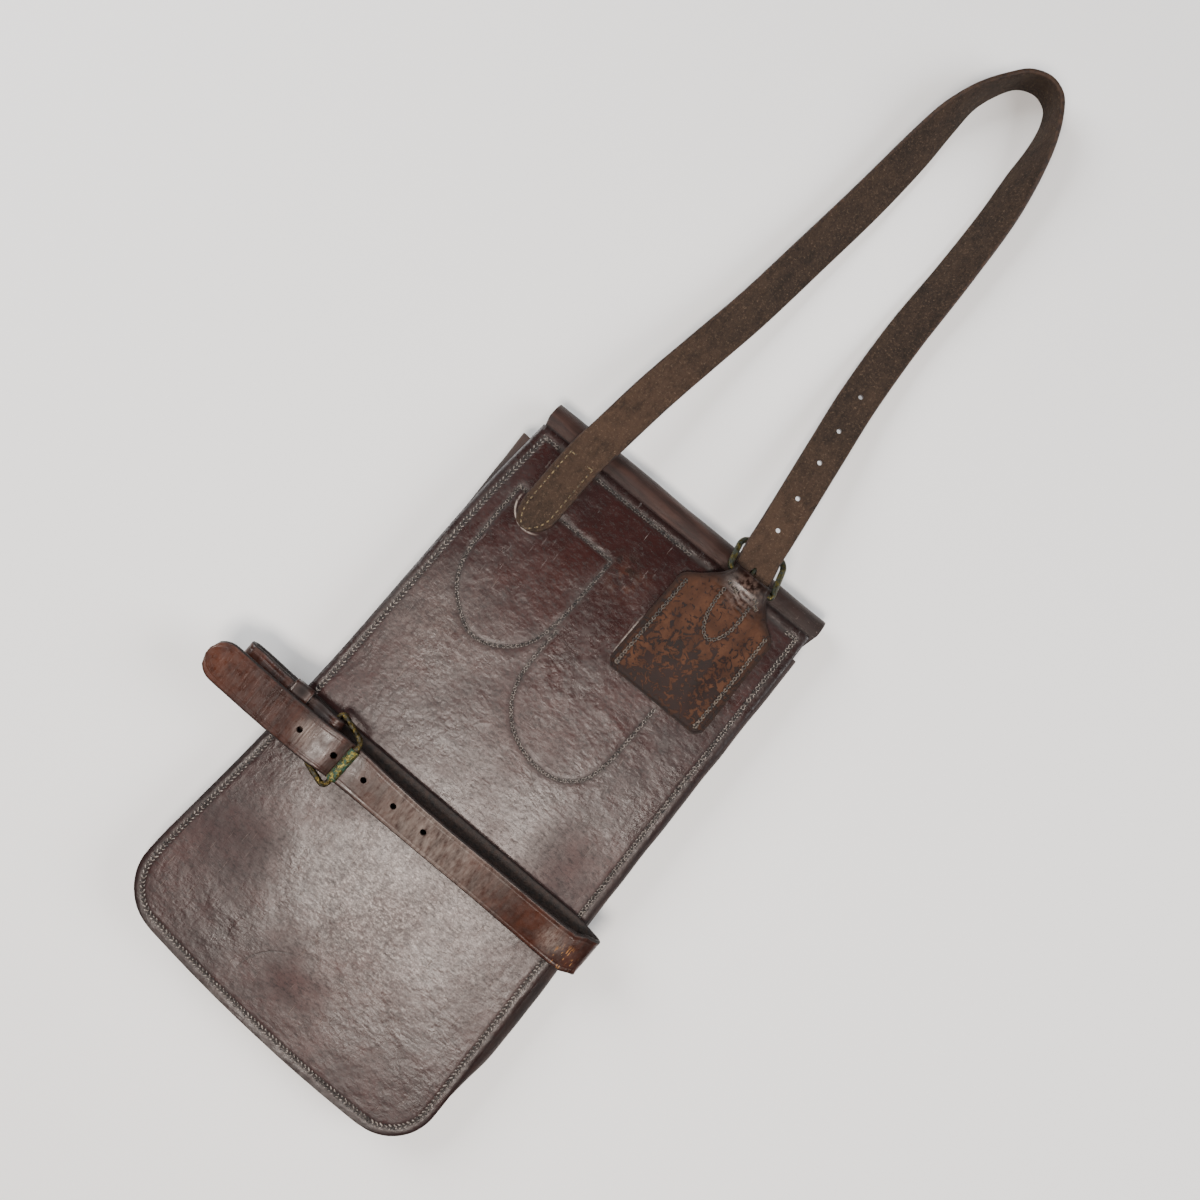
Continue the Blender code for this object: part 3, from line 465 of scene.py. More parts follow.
def body_leather():
    """Bridle leather, waxed and polished: purple brown, creased, scratched, worn at its edges."""
    look = Finish("waxed bridle leather", "#220f10")
    clouds = look.pattern(48.0, 5.0, 0.6)
    look.coat("#341816", clouds)
    look.coat("#150a0a", look.pattern(13.0, 6.0), 0.5)
    look.coat("#3d1813", look.near(8.0, 150.0, 115.0), look.varied(0.4, (0.6, clouds)), 0.5)
    # Grey wax bloom and painted sheen over the lower part, both less in three duller places
    dull = look.joined("MAXIMUM", look.near(-92.0, -118.0, 52.0), look.near(-8.0, -168.0, 42.0),
                       look.near(84.0, -10.0, 40.0))
    speckle = look.pattern(6.0, 9.0, 0.8, 0.38, 0.64, look.stretched((1.0, 0.6, 1.0)))
    bloom_and_sheen = look.joined("MAXIMUM", look.near(25.0, -60.0, 150.0),
                        look.joined("MULTIPLY", look.near(-75.0, 62.0, 62.0), 0.8))
    bloom_and_sheen = look.joined("MULTIPLY", bloom_and_sheen, look.varied(0.2, (0.85, speckle)),
                        look.varied(1.0, (0.5, look.near(-20.0, -92.0, 60.0))),
                        look.varied(1.0, (-0.8, dull)))
    look.coat("#6e615c", bloom_and_sheen, 0.44)
    # Painted shade darkens the top of the panel, away from the sheen
    top_shade = look.joined("MULTIPLY", look.near(-10.0, 195.0, 165.0), 0.8)
    look.coat("#1b0c0b", top_shade, 0.55)
    # Painted glints in the sheen and dark pits of the grain, drawn coarser than real so that they
    # show
    painted_glints = look.pattern(1.3, 5.0, 0.75, 0.48, 0.66, look.stretched((0.6, 1.0, 1.0), 0.35))
    look.coat("#b8ada6", painted_glints, bloom_and_sheen, look.varied(0.25, (0.6, look.near(15.0, -110.0, 120.0))))
    pits = look.pattern(1.8, 6.0, 0.8, 0.5, 0.62, look.stretched((0.5, 1.0, 1.0), 0.35))
    look.coat("#120909", pits, 0.7)
    look.coat("#4a2b1d", look.near(-4.0, 160.0, 20.0), look.pattern(8.0, 4.0, 0.6, 0.45, 0.58), 0.4)
    look.coat("#120e0c", look.near(-9.0, 165.0, 16.0), look.pattern(6.0, 3.0, 0.5, 0.45, 0.56),
              0.85)
    scratches = look.pattern(1.6, 2.0, 0.5, 0.68, 0.73, look.stretched((1.0, 0.1, 1.0), 1.3))
    look.coat("#75675f", scratches, 0.2)
    seam = look.add("Attribute", "Fac", attribute_name="seam")
    look.coat("#130d0b", seam, 0.85)
    look.coat("#130b0a", look.add("Attribute", "Fac", attribute_name="rim"), 0.7)
    # Lines worn pale beside the strap's end and the patch, and a crease low on the left
    strap_wear = look.joined("MULTIPLY", look.arc(-72.7, 158.6, 14.9, 0.9),
                             look.near(-81.0, 146.0, 19.0, 0.5))
    patch_wear = look.joined("MULTIPLY", look.arc(1018.2, 130.0, 1000.0, 1.0),
                             look.near(18.5, 134.0, 19.0, 0.7))
    look.coat("#b5aaa2", look.joined("MAXIMUM", strap_wear, patch_wear),
              look.pattern(2.4, 6.0, 0.75, 0.36, 0.5), 0.7)
    crease = look.joined("MULTIPLY", look.arc(-5.2, -181.7, 32.9, 0.9),
                         look.near(-28.0, -162.0, 24.0, 0.5))
    look.coat("#1a1110", crease, 0.7)

    rough = look.varied(0.24, (0.18, look.pattern(34.0, 9.0, 0.68)))
    rough = look.varied(rough, (look.joined("SUBTRACT", 0.2, rough), top_shade),
                        (0.25, seam), (0.2, dull), (0.12, pits))
    look.raised(look.pattern(18.0, 3.0), 0.24)
    look.raised(look.pattern(5.0, 6.0, 0.65, place=look.stretched((1.0, 0.45, 1.0), 0.5)), 0.06)
    wrinkle = look.pattern(2.4, 5.0, 0.65, place=look.stretched((0.35, 1.0, 1.0), 0.35))
    look.raised(look.joined("MULTIPLY", wrinkle, look.varied(1.0, (-0.9, top_shade))), 0.05)
    look.grain(1.3, 0.03)
    look.raised(look.joined("ADD", crease, scratches), -0.06)
    return look.done(rough, 0.38)


def roll_leather():
    """The same bridle leather where it is rolled: brown, with cracks along the roll."""
    look = Finish("rolled bridle leather", "#22130f")
    along = look.stretched((0.12, 1.0, 1.0))
    look.coat("#3a241d", look.pattern(4.0, 6.0, place=along))
    look.coat("#1a100e", look.pattern(30.0), 0.5)
    look.coat("#140c0a", look.near(104.0, 212.0, 55.0), 0.7)
    look.coat("#8a7d74", look.near(100.0, 208.0, 26.0), look.pattern(1.8, 6.0, 0.75, 0.6, 0.68),
              0.5)
    look.raised(look.pattern(1.8, 5.0, 0.7, place=along), 0.1)
    look.raised(look.pattern(9.0, 4.0), 0.2)
    look.grain(0.9, 0.02)
    return look.done(0.55, 0.32)


def gusset_leather():
    """Softer side leather: dark, worn to tan at the flared mouth on the left."""
    look = Finish("soft gusset leather", "#150b0a")
    look.coat("#241410", look.pattern(14.0, 5.0))
    look.coat("#2f1a10", look.near(-112.0, 192.0, 34.0),
              look.pattern(5.0, 5.0, 0.6, 0.25, 0.5, look.stretched((1.0, 0.2, 1.0))))
    look.raised(look.pattern(4.0, 5.0, place=look.stretched((1.0, 0.25, 1.0))), 0.25)
    look.grain(1.0, 0.03)
    return look.done(0.62, 0.3)


def flesh_side():
    """Strap leather from its flesh side: napped, matt, brown, lighter near the case."""
    look = Finish("napped flesh side leather", "#221913")
    look.coat("#37291f", look.pattern(24.0, 6.0, 0.65))
    look.coat("#4c3b2f", look.pattern(1.8, 8.0, 0.8, 0.42, 0.66), 0.55)
    look.coat("#4e392b", look.joined("MAXIMUM", look.near(-70.0, 235.0, 120.0),
                                     look.near(52.0, 235.0, 90.0)), 0.6)
    look.coat("#150e0a", look.pattern(5.0, 9.0, 0.78, 0.46, 0.64,
                                      look.stretched((1.0, 0.5, 1.0))), 0.6)
    look.coat("#7f6955", look.pattern(1.5, 6.0, 0.8, 0.56, 0.66), 0.5)
    look.raised(look.pattern(1.6, 6.0, 0.8), 0.5)
    look.raised(look.pattern(6.0, 4.0), 0.4)
    return look.done(0.85, 0.3)


def cut_edge(name, dark, light):
    """Cut edge of thick leather, rubbed and inked dark, with its layers showing."""
    look = Finish(name, dark)
    look.coat(light, look.pattern(3.0, 6.0))
    look.raised(look.pattern(0.8, 4.0), 0.12)
    return look.done(0.6, 0.3)


def belt_leather():
    """Polished belt leather: red brown, cross-creased, with painted sheen, rubbed grey at bends."""
    look = Finish("polished belt leather", "#23100b")
    crossways = look.stretched((1.0, 0.1, 1.0))
    look.coat("#3b1e15", look.pattern(5.0, 5.0, 0.6, place=crossways))
    look.coat("#1a0f0d", look.pattern(11.0), 0.5)
    red = look.joined("MAXIMUM", look.near(-168.0, -36.0, 36.0),
                      look.joined("MULTIPLY", look.near(85.0, -38.0, 26.0), 0.6))
    look.coat("#4a2413", red, look.pattern(9.0, 4.0, 0.5, 0.3, 0.55), 0.7)
    # Painted sheen: grey along the middle of the belt
    look.coat("#81756e", look.near(5.0, -38.0, 82.0),
              look.pattern(2.4, 5.0, 0.65, 0.25, 0.7, crossways), 0.8)
    # Rubbed grey wear and a painted highlight where the belt bends over the folds
    bend_wear_and_highlight = look.joined("MAXIMUM", look.near(100.0, -38.0, 13.0), look.near(-95.0, -34.0, 13.0))
    look.coat("#8d8078", bend_wear_and_highlight, look.pattern(1.1, 6.0, 0.8, 0.35, 0.65, crossways), 0.65)
    # Cracks at the right fold show the tan under the finish
    look.coat("#96693c", look.near(113.0, -43.0, 11.0, 0.6),
              look.pattern(1.1, 2.0, 0.5, 0.61, 0.64, look.stretched((1.0, 0.06, 1.0), 0.12)), 0.8)
    # The keeper and the folded end behind the buckle: dark leather under painted shade, and matt
    shade = look.joined("MAXIMUM", look.near(-97.0, -18.0, 12.0), look.near(-113.0, -18.0, 11.0))
    shade = look.joined("MULTIPLY", shade, 0.8)
    look.coat("#0c0605", shade)
    look.raised(look.pattern(2.0, 5.0, 0.6, place=crossways), 0.05)
    look.raised(look.pattern(8.0, 4.0), 0.08)
    look.grain(0.8, 0.015)
    rough = look.varied(0.26, (0.18, look.pattern(5.0, 5.0)))
    return look.done(look.joined("MAXIMUM", rough, shade), 0.36)


def patch_leather():
    """The patch's dark finish is worn through to tan in islands, mostly at its top and left."""
    look = Finish("dark finish worn through to tan", "#140906")
    look.coat("#200f0b", look.pattern(12.0, 4.0))
    tan = look.mixed("#341e12", "#4c2f1e", look.pattern(10.0, 5.0))
    tan = look.mixed(tan, "#3a2013", look.pattern(2.2, 5.0), 0.5)
    islands = look.add("TexNoise", "Fac", {
        "Vector": look.place, "Scale": per_metre(4.6), "Detail": 7.0, "Roughness": 0.68,
        "Distortion": 1.1})
    height = look.add("SeparateXYZ", "Y", {"Vector": look.add("TexCoord", "Object")})
    upward = look.add("MapRange", "Result", {
        "Value": height, "From Min": 0.112, "From Max": 0.190, "To Min": -0.05,
        "To Max": 0.07})
    core = look.joined("MULTIPLY", look.near(60.0, 138.0, 34.0), -0.05)
    left = look.joined("MULTIPLY", look.near(30.0, 130.0, 20.0), 0.05)
    worn = look.joined("ADD", islands, upward, core, left)
    worn = look.add("MapRange", "Result", {"Value": worn, "From Min": 0.482, "From Max": 0.494})
    neck = look.near(56.0, 212.0, 30.0, 0.5)
    worn = look.joined("MULTIPLY", worn, look.joined("SUBTRACT", 1.0, neck))
    look.coat(tan, worn)
    look.coat("#140a08", look.add("Attribute", "Fac", attribute_name="rim"), 0.8)
    # Painted highlights on the glossy dome of the neck
    look.coat("#6b5951", look.near(56.0, 199.0, 17.0), look.pattern(3.0, 5.0, 0.6, 0.42, 0.6), 0.6)
    look.raised(look.joined("SUBTRACT", 1.0, worn), 0.05)
    look.raised(look.pattern(3.5, 5.0), 0.035)
    look.grain(0.8, 0.015)
    rough = look.varied(0.6, (0.1, worn), (-0.42, look.near(55.0, 204.0, 20.0)))
    return look.done(rough, 0.2)


def aged_brass(name, green, tones):
    """Cast brass gone dull, with verdigris in patches and bright rubbed places."""
    look = Finish(name, tones[0])
    look.coat(tones[1], look.pattern(3.0, 5.0))
    patina = look.pattern(2.0, 6.0, 0.7, 0.60 - green * 0.2, 0.68 - green * 0.2)
    look.coat(look.mixed(tones[2], tones[3], look.pattern(1.4, 4.0)), patina)
    look.raised(look.pattern(1.3, 5.0), 0.25)
    return look.done(look.varied(0.28, (0.27, patina)),
                     metallic=look.varied(1.0, (-0.85, patina)))


def waxed_thread(name, dark, light, rough):
    """Waxed linen thread, twisted: the ply shows as fine bands, in painted shade near the top."""
    look = Finish(name, dark)
    look.coat(light, look.pattern(1.1, 4.0, 0.6, 0.46, 0.56))
    # Painted shade darkens the thread towards the top of the panel
    look.coat(dark, look.near(-20.0, 195.0, 150.0), 0.6)
    look.raised(look.pattern(0.35, 2.0), 0.08)
    return look.done(rough)


# Meshes


def mesh_data(name, mesh, scale=MM):
    """Turns a bmesh, in millimetres as a rule, into mesh data in metres."""
    bmesh.ops.scale(mesh, vec=(scale, scale, scale), verts=mesh.verts)
    data = bpy.data.meshes.new(name)
    mesh.to_mesh(data)
    mesh.free()
    return data


def add_object(name, data):
    thing = bpy.data.objects.new(name, data)
    bpy.context.scene.collection.objects.link(thing)
    return thing


def finish_piece(name, mesh, materials, replaced=(), slot=None, smooth_angle=SHARP_ANGLE):
    """Turns a bmesh into a piece of the case that stands for its nodes."""
    data = mesh_data(name, mesh)
    for material in materials:
        data.materials.append(material)
    data.shade_smooth()
    data.set_sharp_from_angle(angle=math.radians(smooth_angle))
    piece = add_object(name, data)
    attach(piece, "root")
    if replaced:
        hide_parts(*replaced)
    return piece


def placed_grid(columns, rows, place):
    """A grid of faces whose points go where a rule says for their column and row."""
    mesh = bmesh.new()
    bmesh.ops.create_grid(mesh, x_segments=columns, y_segments=rows, size=0.5)
    for vert in mesh.verts:
        column, row = round((vert.co.x + 0.5) * columns), round((vert.co.y + 0.5) * rows)
        vert.co = place(column, row)
    return mesh


def leather_sheet(node, slot, mesh, materials, thickness, round_mm=0.5, offset=-1.0):
    """A leather piece made from one face of it: gets its wall and rounded cut edges."""
    piece = finish_piece(f"{node}_leather", mesh, materials, [node], slot)
    wall = piece.modifiers.new("wall", "SOLIDIFY")
    wall.thickness = thickness * MM
    wall.offset = offset
    wall.material_offset_rim = 1
    edge = piece.modifiers.new("rubbed edge", "BEVEL")
    edge.width = round_mm * MM
    edge.segments = 2
    edge.limit_method = "ANGLE"
    edge.angle_limit = math.radians(SHARP_ANGLE)
    return piece


def swept(name, stations, section, materials, closed_path=False, **keep):
    """A closed section carried along stations: a grid rolled up, its seam merged, its ends filled.

    Each station is middle, side and up vectors; section(i) lists (across, height, material).
    """
    count = len(stations)
    rings = [section(i) for i in range(count)]
    size = len(rings[0])
    rows = count if closed_path else count - 1

    def place(column, row):
        middle, side, up = stations[row % count]
        across, height, _ = rings[row % count][column % size]
        return middle + side * across + up * height

    mesh = placed_grid(size, rows, place)
    mesh.faces.ensure_lookup_table()
    for index, face in enumerate(mesh.faces):
        face.material_index = rings[0][index % size][2]
    bmesh.ops.remove_doubles(mesh, verts=mesh.verts, dist=1e-5)
    if not closed_path:
        open_edges = [edge for edge in mesh.edges if edge.is_boundary]
        filled = bmesh.ops.holes_fill(mesh, edges=open_edges, sides=0)
        for face in filled["faces"]:
            face.material_index = 1 if len(materials) > 1 else 0
    bmesh.ops.recalc_face_normals(mesh, faces=mesh.faces)
    return finish_piece(name, mesh, materials, **keep)


def place_of(row):
    return Vector((row["x"], row["y"], row["z"]))


def tangents(points):
    """Directions along an open path."""
    after, before = points[1:] + points[-1:], points[:1] + points[:-1]
    return [(far - near).normalized() for far, near in zip(after, before)]


def ring_tangents(points):
    """Directions along a closed path."""
    after, before = points[1:] + points[:1], points[-1:] + points[:-1]
    return [(far - near).normalized() for far, near in zip(after, before)]


def round_section(radius, sides):
    turns = [2 * math.pi * i / sides for i in range(sides)]
    return [(radius * math.cos(a), radius * math.sin(a), 0) for a in turns]


def strap_section(low, high, thickness, crease=0.0, round_mm=0.9, inner_points=7):
    """Section of a strap: grain face with creases near both edges, rounded edges, flesh face."""
    flat = thickness / 2
    width = high - low
    r = min(round_mm, width / 5, flat * 0.8)
    inset = min(crease, width / 3)

    def creased(across):
        return [(across - CREASE_WIDTH / 2, -flat, 0), (across, -flat + CREASE_DEPTH, 0),
                (across + CREASE_WIDTH / 2, -flat, 0)]

    grain = [(low + r, -flat, 0)]
    if crease:
        grain += creased(low + inset)
    start, end = (low + max(inset + CREASE_WIDTH, r * 1.6),
                  high - max(inset + CREASE_WIDTH, r * 1.6))
    for i in range(inner_points):
        share = i / (inner_points - 1)
        crown = STRAP_CROWN * math.sin(math.pi * share)
        grain.append((between(start, end, share), -flat - crown, 0))
    if crease:
        grain += creased(high - inset)
    grain.append((high - r, -flat, 1))
    edge = [(high - r * 0.3, -flat + r * 0.3, 1), (high, -flat + r, 1), (high + 0.08, 0.0, 1),
            (high, flat - r, 1), (high - r * 0.3, flat - r * 0.3, 1)]
    flesh = [(between(high - r, low + r, i / (inner_points - 1)), flat, 2)
             for i in range(inner_points)]
    flesh[-1] = (flesh[-1][0], flat, 1)
    other = [(low + r * 0.3, flat - r * 0.3, 1), (low, flat - r, 1), (low - 0.08, 0.0, 1),
             (low, -flat + r, 1), (low + r * 0.3, -flat + r * 0.3, 1)]
    return grain + edge + flesh + other


def rod_mesh(start, end, radius, sides=20):
    start, end = Vector(start), Vector(end)
    mesh = bmesh.new()
    turn = (end - start).to_track_quat("Z", "Y").to_matrix().to_4x4()
    bmesh.ops.create_cone(mesh, cap_ends=True, segments=sides, radius1=radius, radius2=radius,
                          depth=(end - start).length,
                          matrix=Matrix.Translation((start + end) / 2) @ turn)
    return mesh


def punch(piece, rods):
    """Punches round holes through a piece with rods given as start, end and radius."""
    tool = bmesh.new()
    for start, end, radius in rods:
        data = mesh_data("punch rod", rod_mesh(start, end, radius), 1.0)
        tool.from_mesh(data)
        bpy.data.meshes.remove(data)
    cutter = add_object("punch", mesh_data("punch", tool))
    hole = piece.modifiers.new("holes", "BOOLEAN")
    hole.operation = "DIFFERENCE"
    hole.solver = "EXACT"
    hole.object = cutter
    bpy.context.view_layer.update()
    graph = bpy.context.evaluated_depsgraph_get()
    cut_mesh = bpy.data.meshes.new_from_object(piece.evaluated_get(graph))
    piece.modifiers.clear()
    piece.data = cut_mesh
    piece.data.set_sharp_from_angle(angle=math.radians(SHARP_ANGLE))
    bpy.data.objects.remove(cutter)


# The body


def outline_points(inset, step):
    """Points round the body at an inset from its edge: left side, bottom, right side, top."""
    def side(name):
        sign = 1.0 if name == "left" else -1.0
        radius = (LEFT_CORNER_RADIUS if name == "left" else RIGHT_CORNER_RADIUS) - inset
        places = []
        rows = 160
        for i in range(rows + 1):
            up = (i / rows) ** 1.6
            x = read_curve(BODY_EDGES, "up", name, up) + sign * inset
            length = top_y(x) - bottom_y(x) - 2 * inset
            x += sign * corner_cut(up * length, radius)
            y = between(bottom_y(x) + inset, top_y(x) - inset, up)
            places.append(Vector((x, y, 0.0)))
        return places

    left, right = side("left"), side("right")
    start, end = left[0].x, right[0].x
    bottom = []
    for i in range(1, 60):
        x = between(start, end, i / 60)
        bottom.append(Vector((x, bottom_y(x) + inset, 0.0)))
    path = left[::-1] + bottom + right
    return resample(path, step), resample([right[-1], left[-1]], step)


def resample(path, step):
    """The same path with points at an even spacing."""
    lengths = [0.0]
    for near, far in zip(path, path[1:]):
        lengths.append(lengths[-1] + (far - near).length)
    count = max(1, round(lengths[-1] / step))
    points, index = [], 0
    for i in range(count + 1):
        wanted = lengths[-1] * i / count
        while index < len(path) - 2 and lengths[index + 1] < wanted:
            index += 1
        span = lengths[index + 1] - lengths[index]
        share = (wanted - lengths[index]) / span if span else 0.0
        points.append(path[index].lerp(path[index + 1], clamp(share)))
    return points


def flat_route(places):
    """A smooth line through places given as x and y."""
    route = smooth_route([{"x": x, "y": y} for x, y in places], 1.0)
    return [Vector((p["x"], p["y"], 0.0)) for p in route]


def pocket_path(name, step):
    curve = flat_route(POCKET_LINES[name])
    if name == "left pocket":
        curve.append(Vector((*POCKET_LINES[name][0], 0.0)))
    return resample(curve, step)


def line_finder(*lines):
    """Finds how near a place is to lines given as points."""
    points = sum(lines, [])
    finder = KDTree(len(points))
    for index, point in enumerate(points):
        finder.insert(point, index)
    finder.balance()
    return finder


GROOVES = line_finder(*outline_points(BORDER_INSET, 1.0),
                      *(pocket_path(name, 1.0) for name in POCKET_LINES))
RIM = line_finder(*outline_points(0.0, 1.0))


def nearness(finder, x, y, reach):
    return math.exp(-(finder.find(Vector((x, y, 0.0)))[2] / reach) ** 2)


def keep_marks(mesh, marks):
    """Stores how near each point is to its marks, for the material."""
    layers = {name: mesh.verts.layers.float.new(name) for name in marks}
    for vert in mesh.verts:
        for name, (finder, reach) in marks.items():
            vert[layers[name]] = nearness(finder, vert.co.x, vert.co.y, reach)


def panel_height(x, y):
    """The worn panel's upper face: never above the model's, dented, and drawn in at stitches."""
    place = Vector((x / DENT_SIZE[0], y / DENT_SIZE[1], 0.3))
    wave = noise.noise(place) + 0.5 * noise.noise(place * 2.3)
    groove = GROOVE_DEPTH * nearness(GROOVES, x, y, GROOVE_REACH)
    return panel_top(x, y) - UNDULATION * clamp(0.5 + 0.5 * wave, 0.0, 1.2) - groove


def edge_crowding(share):
    """Columns lie closer together near both edges."""
    return share - COLUMN_CROWDING * math.sin(2 * math.pi * share)


def back_panel(leather, edge):
    columns, rows = 170, 262

    def place(column, row):
        up = (row / rows) ** 1.2
        left, right = body_side("left", up), body_side("right", up)
        share = edge_crowding(column / columns)
        x = between(left[0], right[0], share)
        y = between(bottom_y(x), top_y(x), up)
        near_edge = min(share, 1 - share) * (right[0] - left[0])
        roll = EDGE_ROLL * math.exp(-near_edge / EDGE_ROLL_REACH)
        return Vector((x, y, panel_height(x, y) - roll))

    mesh = placed_grid(columns, rows, place)
    keep_marks(mesh, {"seam": (GROOVES, GROOVE_REACH), "rim": (RIM, RIM_REACH)})
    leather_sheet("back_panel", "body_leather", mesh, [leather, edge],
                  BACK_THICKNESS - PANEL_THINNING)


def front_panel(leather, edge):
    columns, rows = 24, 60
    top = FLAP_THICKNESS + CLEAR + FRONT_THICKNESS

    def place(column, row):
        up = (row / rows) ** 1.5 * FRONT_END
        left, right = body_side("left", up), body_side("right", up)
        x = between(left[0], right[0], column / columns)
        return Vector((x, between(bottom_y(x), top_y(x), up), top))

    leather_sheet("front_panel", "body_leather", placed_grid(columns, rows, place),
                  [leather, edge], FRONT_THICKNESS)


def flap_stations():
    """The flap's outer face from its seam, over the roll, to its free edge."""
    outer = ROLL_HEIGHT / 2
    rows = [(between(FLAP_START_Y, FLAP_ROLL_Y, i / 8), 2 * outer) for i in range(8)]
    rows += [(FLAP_ROLL_Y + outer * math.sin(math.pi * i / 32),
              outer + outer * math.cos(math.pi * i / 32)) for i in range(33)]
    round_start = FLAP_END_Y + FLAP_CORNER_RADIUS
    rows += [(between(FLAP_ROLL_Y, round_start, i / 60), 0.0) for i in range(1, 61)]
    rows += [(round_start - FLAP_CORNER_RADIUS * math.sin(math.pi / 2 * i / 24), 0.0)
             for i in range(1, 25)]
    return rows


def flap(leather, edge):
    stations = flap_stations()
    columns = 110

    def place(column, row):
        y, z = stations[row]
        up = clamp((y - BOTTOM_EDGE["middle_y"]) / (TOP_EDGE_Y - BOTTOM_EDGE["middle_y"]))
        left = max(read_curve(BODY_EDGES, "up", "left", up) + FLAP_SIDE_INSET, FLAP_LEFT_LIMIT_X)
        right = read_curve(BODY_EDGES, "up", "right", up) - FLAP_SIDE_INSET
        seam = clamp((y - FLAP_NARROWING["start_y"]) / FLAP_NARROWING["length"])
        left, right = between(left, FLAP_LEFT_X, seam), between(right, FLAP_RIGHT_X, seam)
        inward = corner_cut(y - FLAP_END_Y, FLAP_CORNER_RADIUS) if z == 0.0 else 0.0
        if z > 0.9 * ROLL_HEIGHT:
            inward = FLAP_SEAM_DRAW_IN * clamp((FLAP_ROLL_Y - y) / (FLAP_ROLL_Y - FLAP_START_Y))
        x = between(left + inward, right - inward, column / columns)
        rolled = math.sin(math.pi * clamp(z / ROLL_HEIGHT)) if y > FLAP_ROLL_Y else 0.0
        dent = ROLL_DENT * rolled * (0.5 + noise.noise(Vector((x / 30.0, y / 9.0, z / 9.0))))
        return Vector((x, y - dent, z - (dent * 0.5 if z > 0.53 * ROLL_HEIGHT else 0.0)))

    leather_sheet("flap", "body_leather", placed_grid(columns, len(stations) - 1, place),
                  [leather, edge], FLAP_THICKNESS)


def gusset_bulge(point, on_left):
    if on_left and point.y > LEFT_FLARE_START_Y:
        share = (point.y - LEFT_FLARE_START_Y) / (GUSSET_TOP_Y - LEFT_FLARE_START_Y)
        return GUSSET_REST_BULGE + LEFT_MOUTH_FLARE * share
    if not on_left and point.x > 90.0:
        return read_curve(RIGHT_BULGE, "y", "out", max(point.y, RIGHT_BULGE[0]["y"]))
    return GUSSET_REST_BULGE


def gusset(leather, edge):
    """The side and bottom wall: a channel section carried round three sides of the body."""
    top = BACK_TOP_Z - BACK_THICKNESS - CLEAR
    bottom = FLAP_THICKNESS + FRONT_THICKNESS + 2 * CLEAR
    middle = (top + bottom) / 2
    half = (top - bottom) / 2
    path = [p for p in outline_points(0.0, 4.0)[0] if p.y < GUSSET_TOP_Y or abs(p.x) < 80.0]
    turns = [math.radians(t) for t in (-90, -65, -40, -20, 0, 20, 40, 65, 90)]

    def section(index):
        bulge = gusset_bulge(path[index], index < len(path) / 2)
        bulge += GUSSET_WAVE["height"] * noise.noise(path[index] / GUSSET_WAVE["length"])
        bulge = max(bulge, 0.1)

        def arc(depth):
            return [(-GUSSET_INSET - depth + bulge * math.cos(t),
                     middle + (half - depth) * math.sin(t), 0) for t in turns]

        return [(-GUSSET_FLANGE, bottom, 0), *arc(0.0), (-GUSSET_FLANGE, top, 1),
                (-GUSSET_FLANGE, top - GUSSET_THICKNESS, 0), *arc(GUSSET_THICKNESS)[::-1],
                (-GUSSET_FLANGE, bottom + GUSSET_THICKNESS, 1)]

    upright = Vector((0.0, 0.0, 1.0))
    stations = [(point, Vector((forward.y, -forward.x, 0.0)), upright)
                for point, forward in zip(path, tangents(path))]
    return swept("gusset_leather", stations, section, [leather, edge],
                 replaced=["gusset"], slot="gusset_leather")


# Stitches


def lay_stitches(name, rows, material):
    """Joins short waxed stitches into one piece; a row holds a middle, a turn and its size."""
    mesh = bmesh.new()
    for middle, turn, (length, width, height) in rows:
        shape = (Matrix.Translation(middle) @ Matrix.Rotation(turn, 4, "Z")
                 @ Matrix.Diagonal((length / 2, width / 2, height / 2, 1.0)))
        bmesh.ops.create_icosphere(mesh, subdivisions=2, radius=1.0, matrix=shape)
    return finish_piece(name, mesh, [material], smooth_angle=180.0)


def herringbone(path, height_at, size, aside, slant, skip=None, chain=False):
    """Two slanted stitches at each step of a path, mirrored about it; in a chain they zigzag."""
    rows = []
    for point, forward in zip(path, tangents(path)):
        if skip and skip(point):
            continue
        if chain:
            slant = -slant
        heading = math.atan2(forward.y, forward.x)
        across = Vector((-forward.y, forward.x, 0.0))
        for sign in (-1.0, 1.0):
            place = point + across * aside * sign
            place.z = height_at(place.x, place.y) + size[2] * 0.22
            rows.append((place, heading - math.radians(slant) * sign, size))
    return rows


def panel_stitches(thread):
    sides, top = outline_points(BORDER_INSET, STITCH_PITCH)

    def covered(point):
        return any(c["left"] < point.x < c["right"] and point.y > c["bottom"] for c in COVERED)

    def on_right(point):
        return point.x > CHAIN_SEAM["left"] and point.y > CHAIN_SEAM["bottom"]

    def elsewhere(point):
        return not on_right(point)

    rings = [resample(line, STITCH_PITCH / 2) for line in (sides, top)]
    rows = herringbone(sides, panel_height, *STITCHES["border"], on_right)
    rows += herringbone(rings[0], panel_height, *STITCHES["right border"], elsewhere, True)
    rows += herringbone(rings[1], panel_height, *STITCHES["top border"], covered, True)
    lay_stitches("border_stitching", rows, thread)
    rows = []
    for name in POCKET_LINES:
        rows += herringbone(pocket_path(name, CHAIN_PITCH), panel_height, *STITCHES["pocket"],
                            covered, True)
    lay_stitches("pocket_stitching", rows, thread)


# Shoulder strap


def strap_edges(distance_from_tip):
    """Both edges of the strap across its middle, drawn together to its pointed end."""
    share = clamp(distance_from_tip / STRAP_POINT_LENGTH)
    open_share = math.sqrt(max(1.0 - (1.0 - share) ** 2, 0.0))
    low, high = STRAP_POINT_ACROSS
    return (between(low, 0.0, open_share) - STRAP_WIDTH / 2,
            between(high, STRAP_WIDTH, open_share) - STRAP_WIDTH / 2)


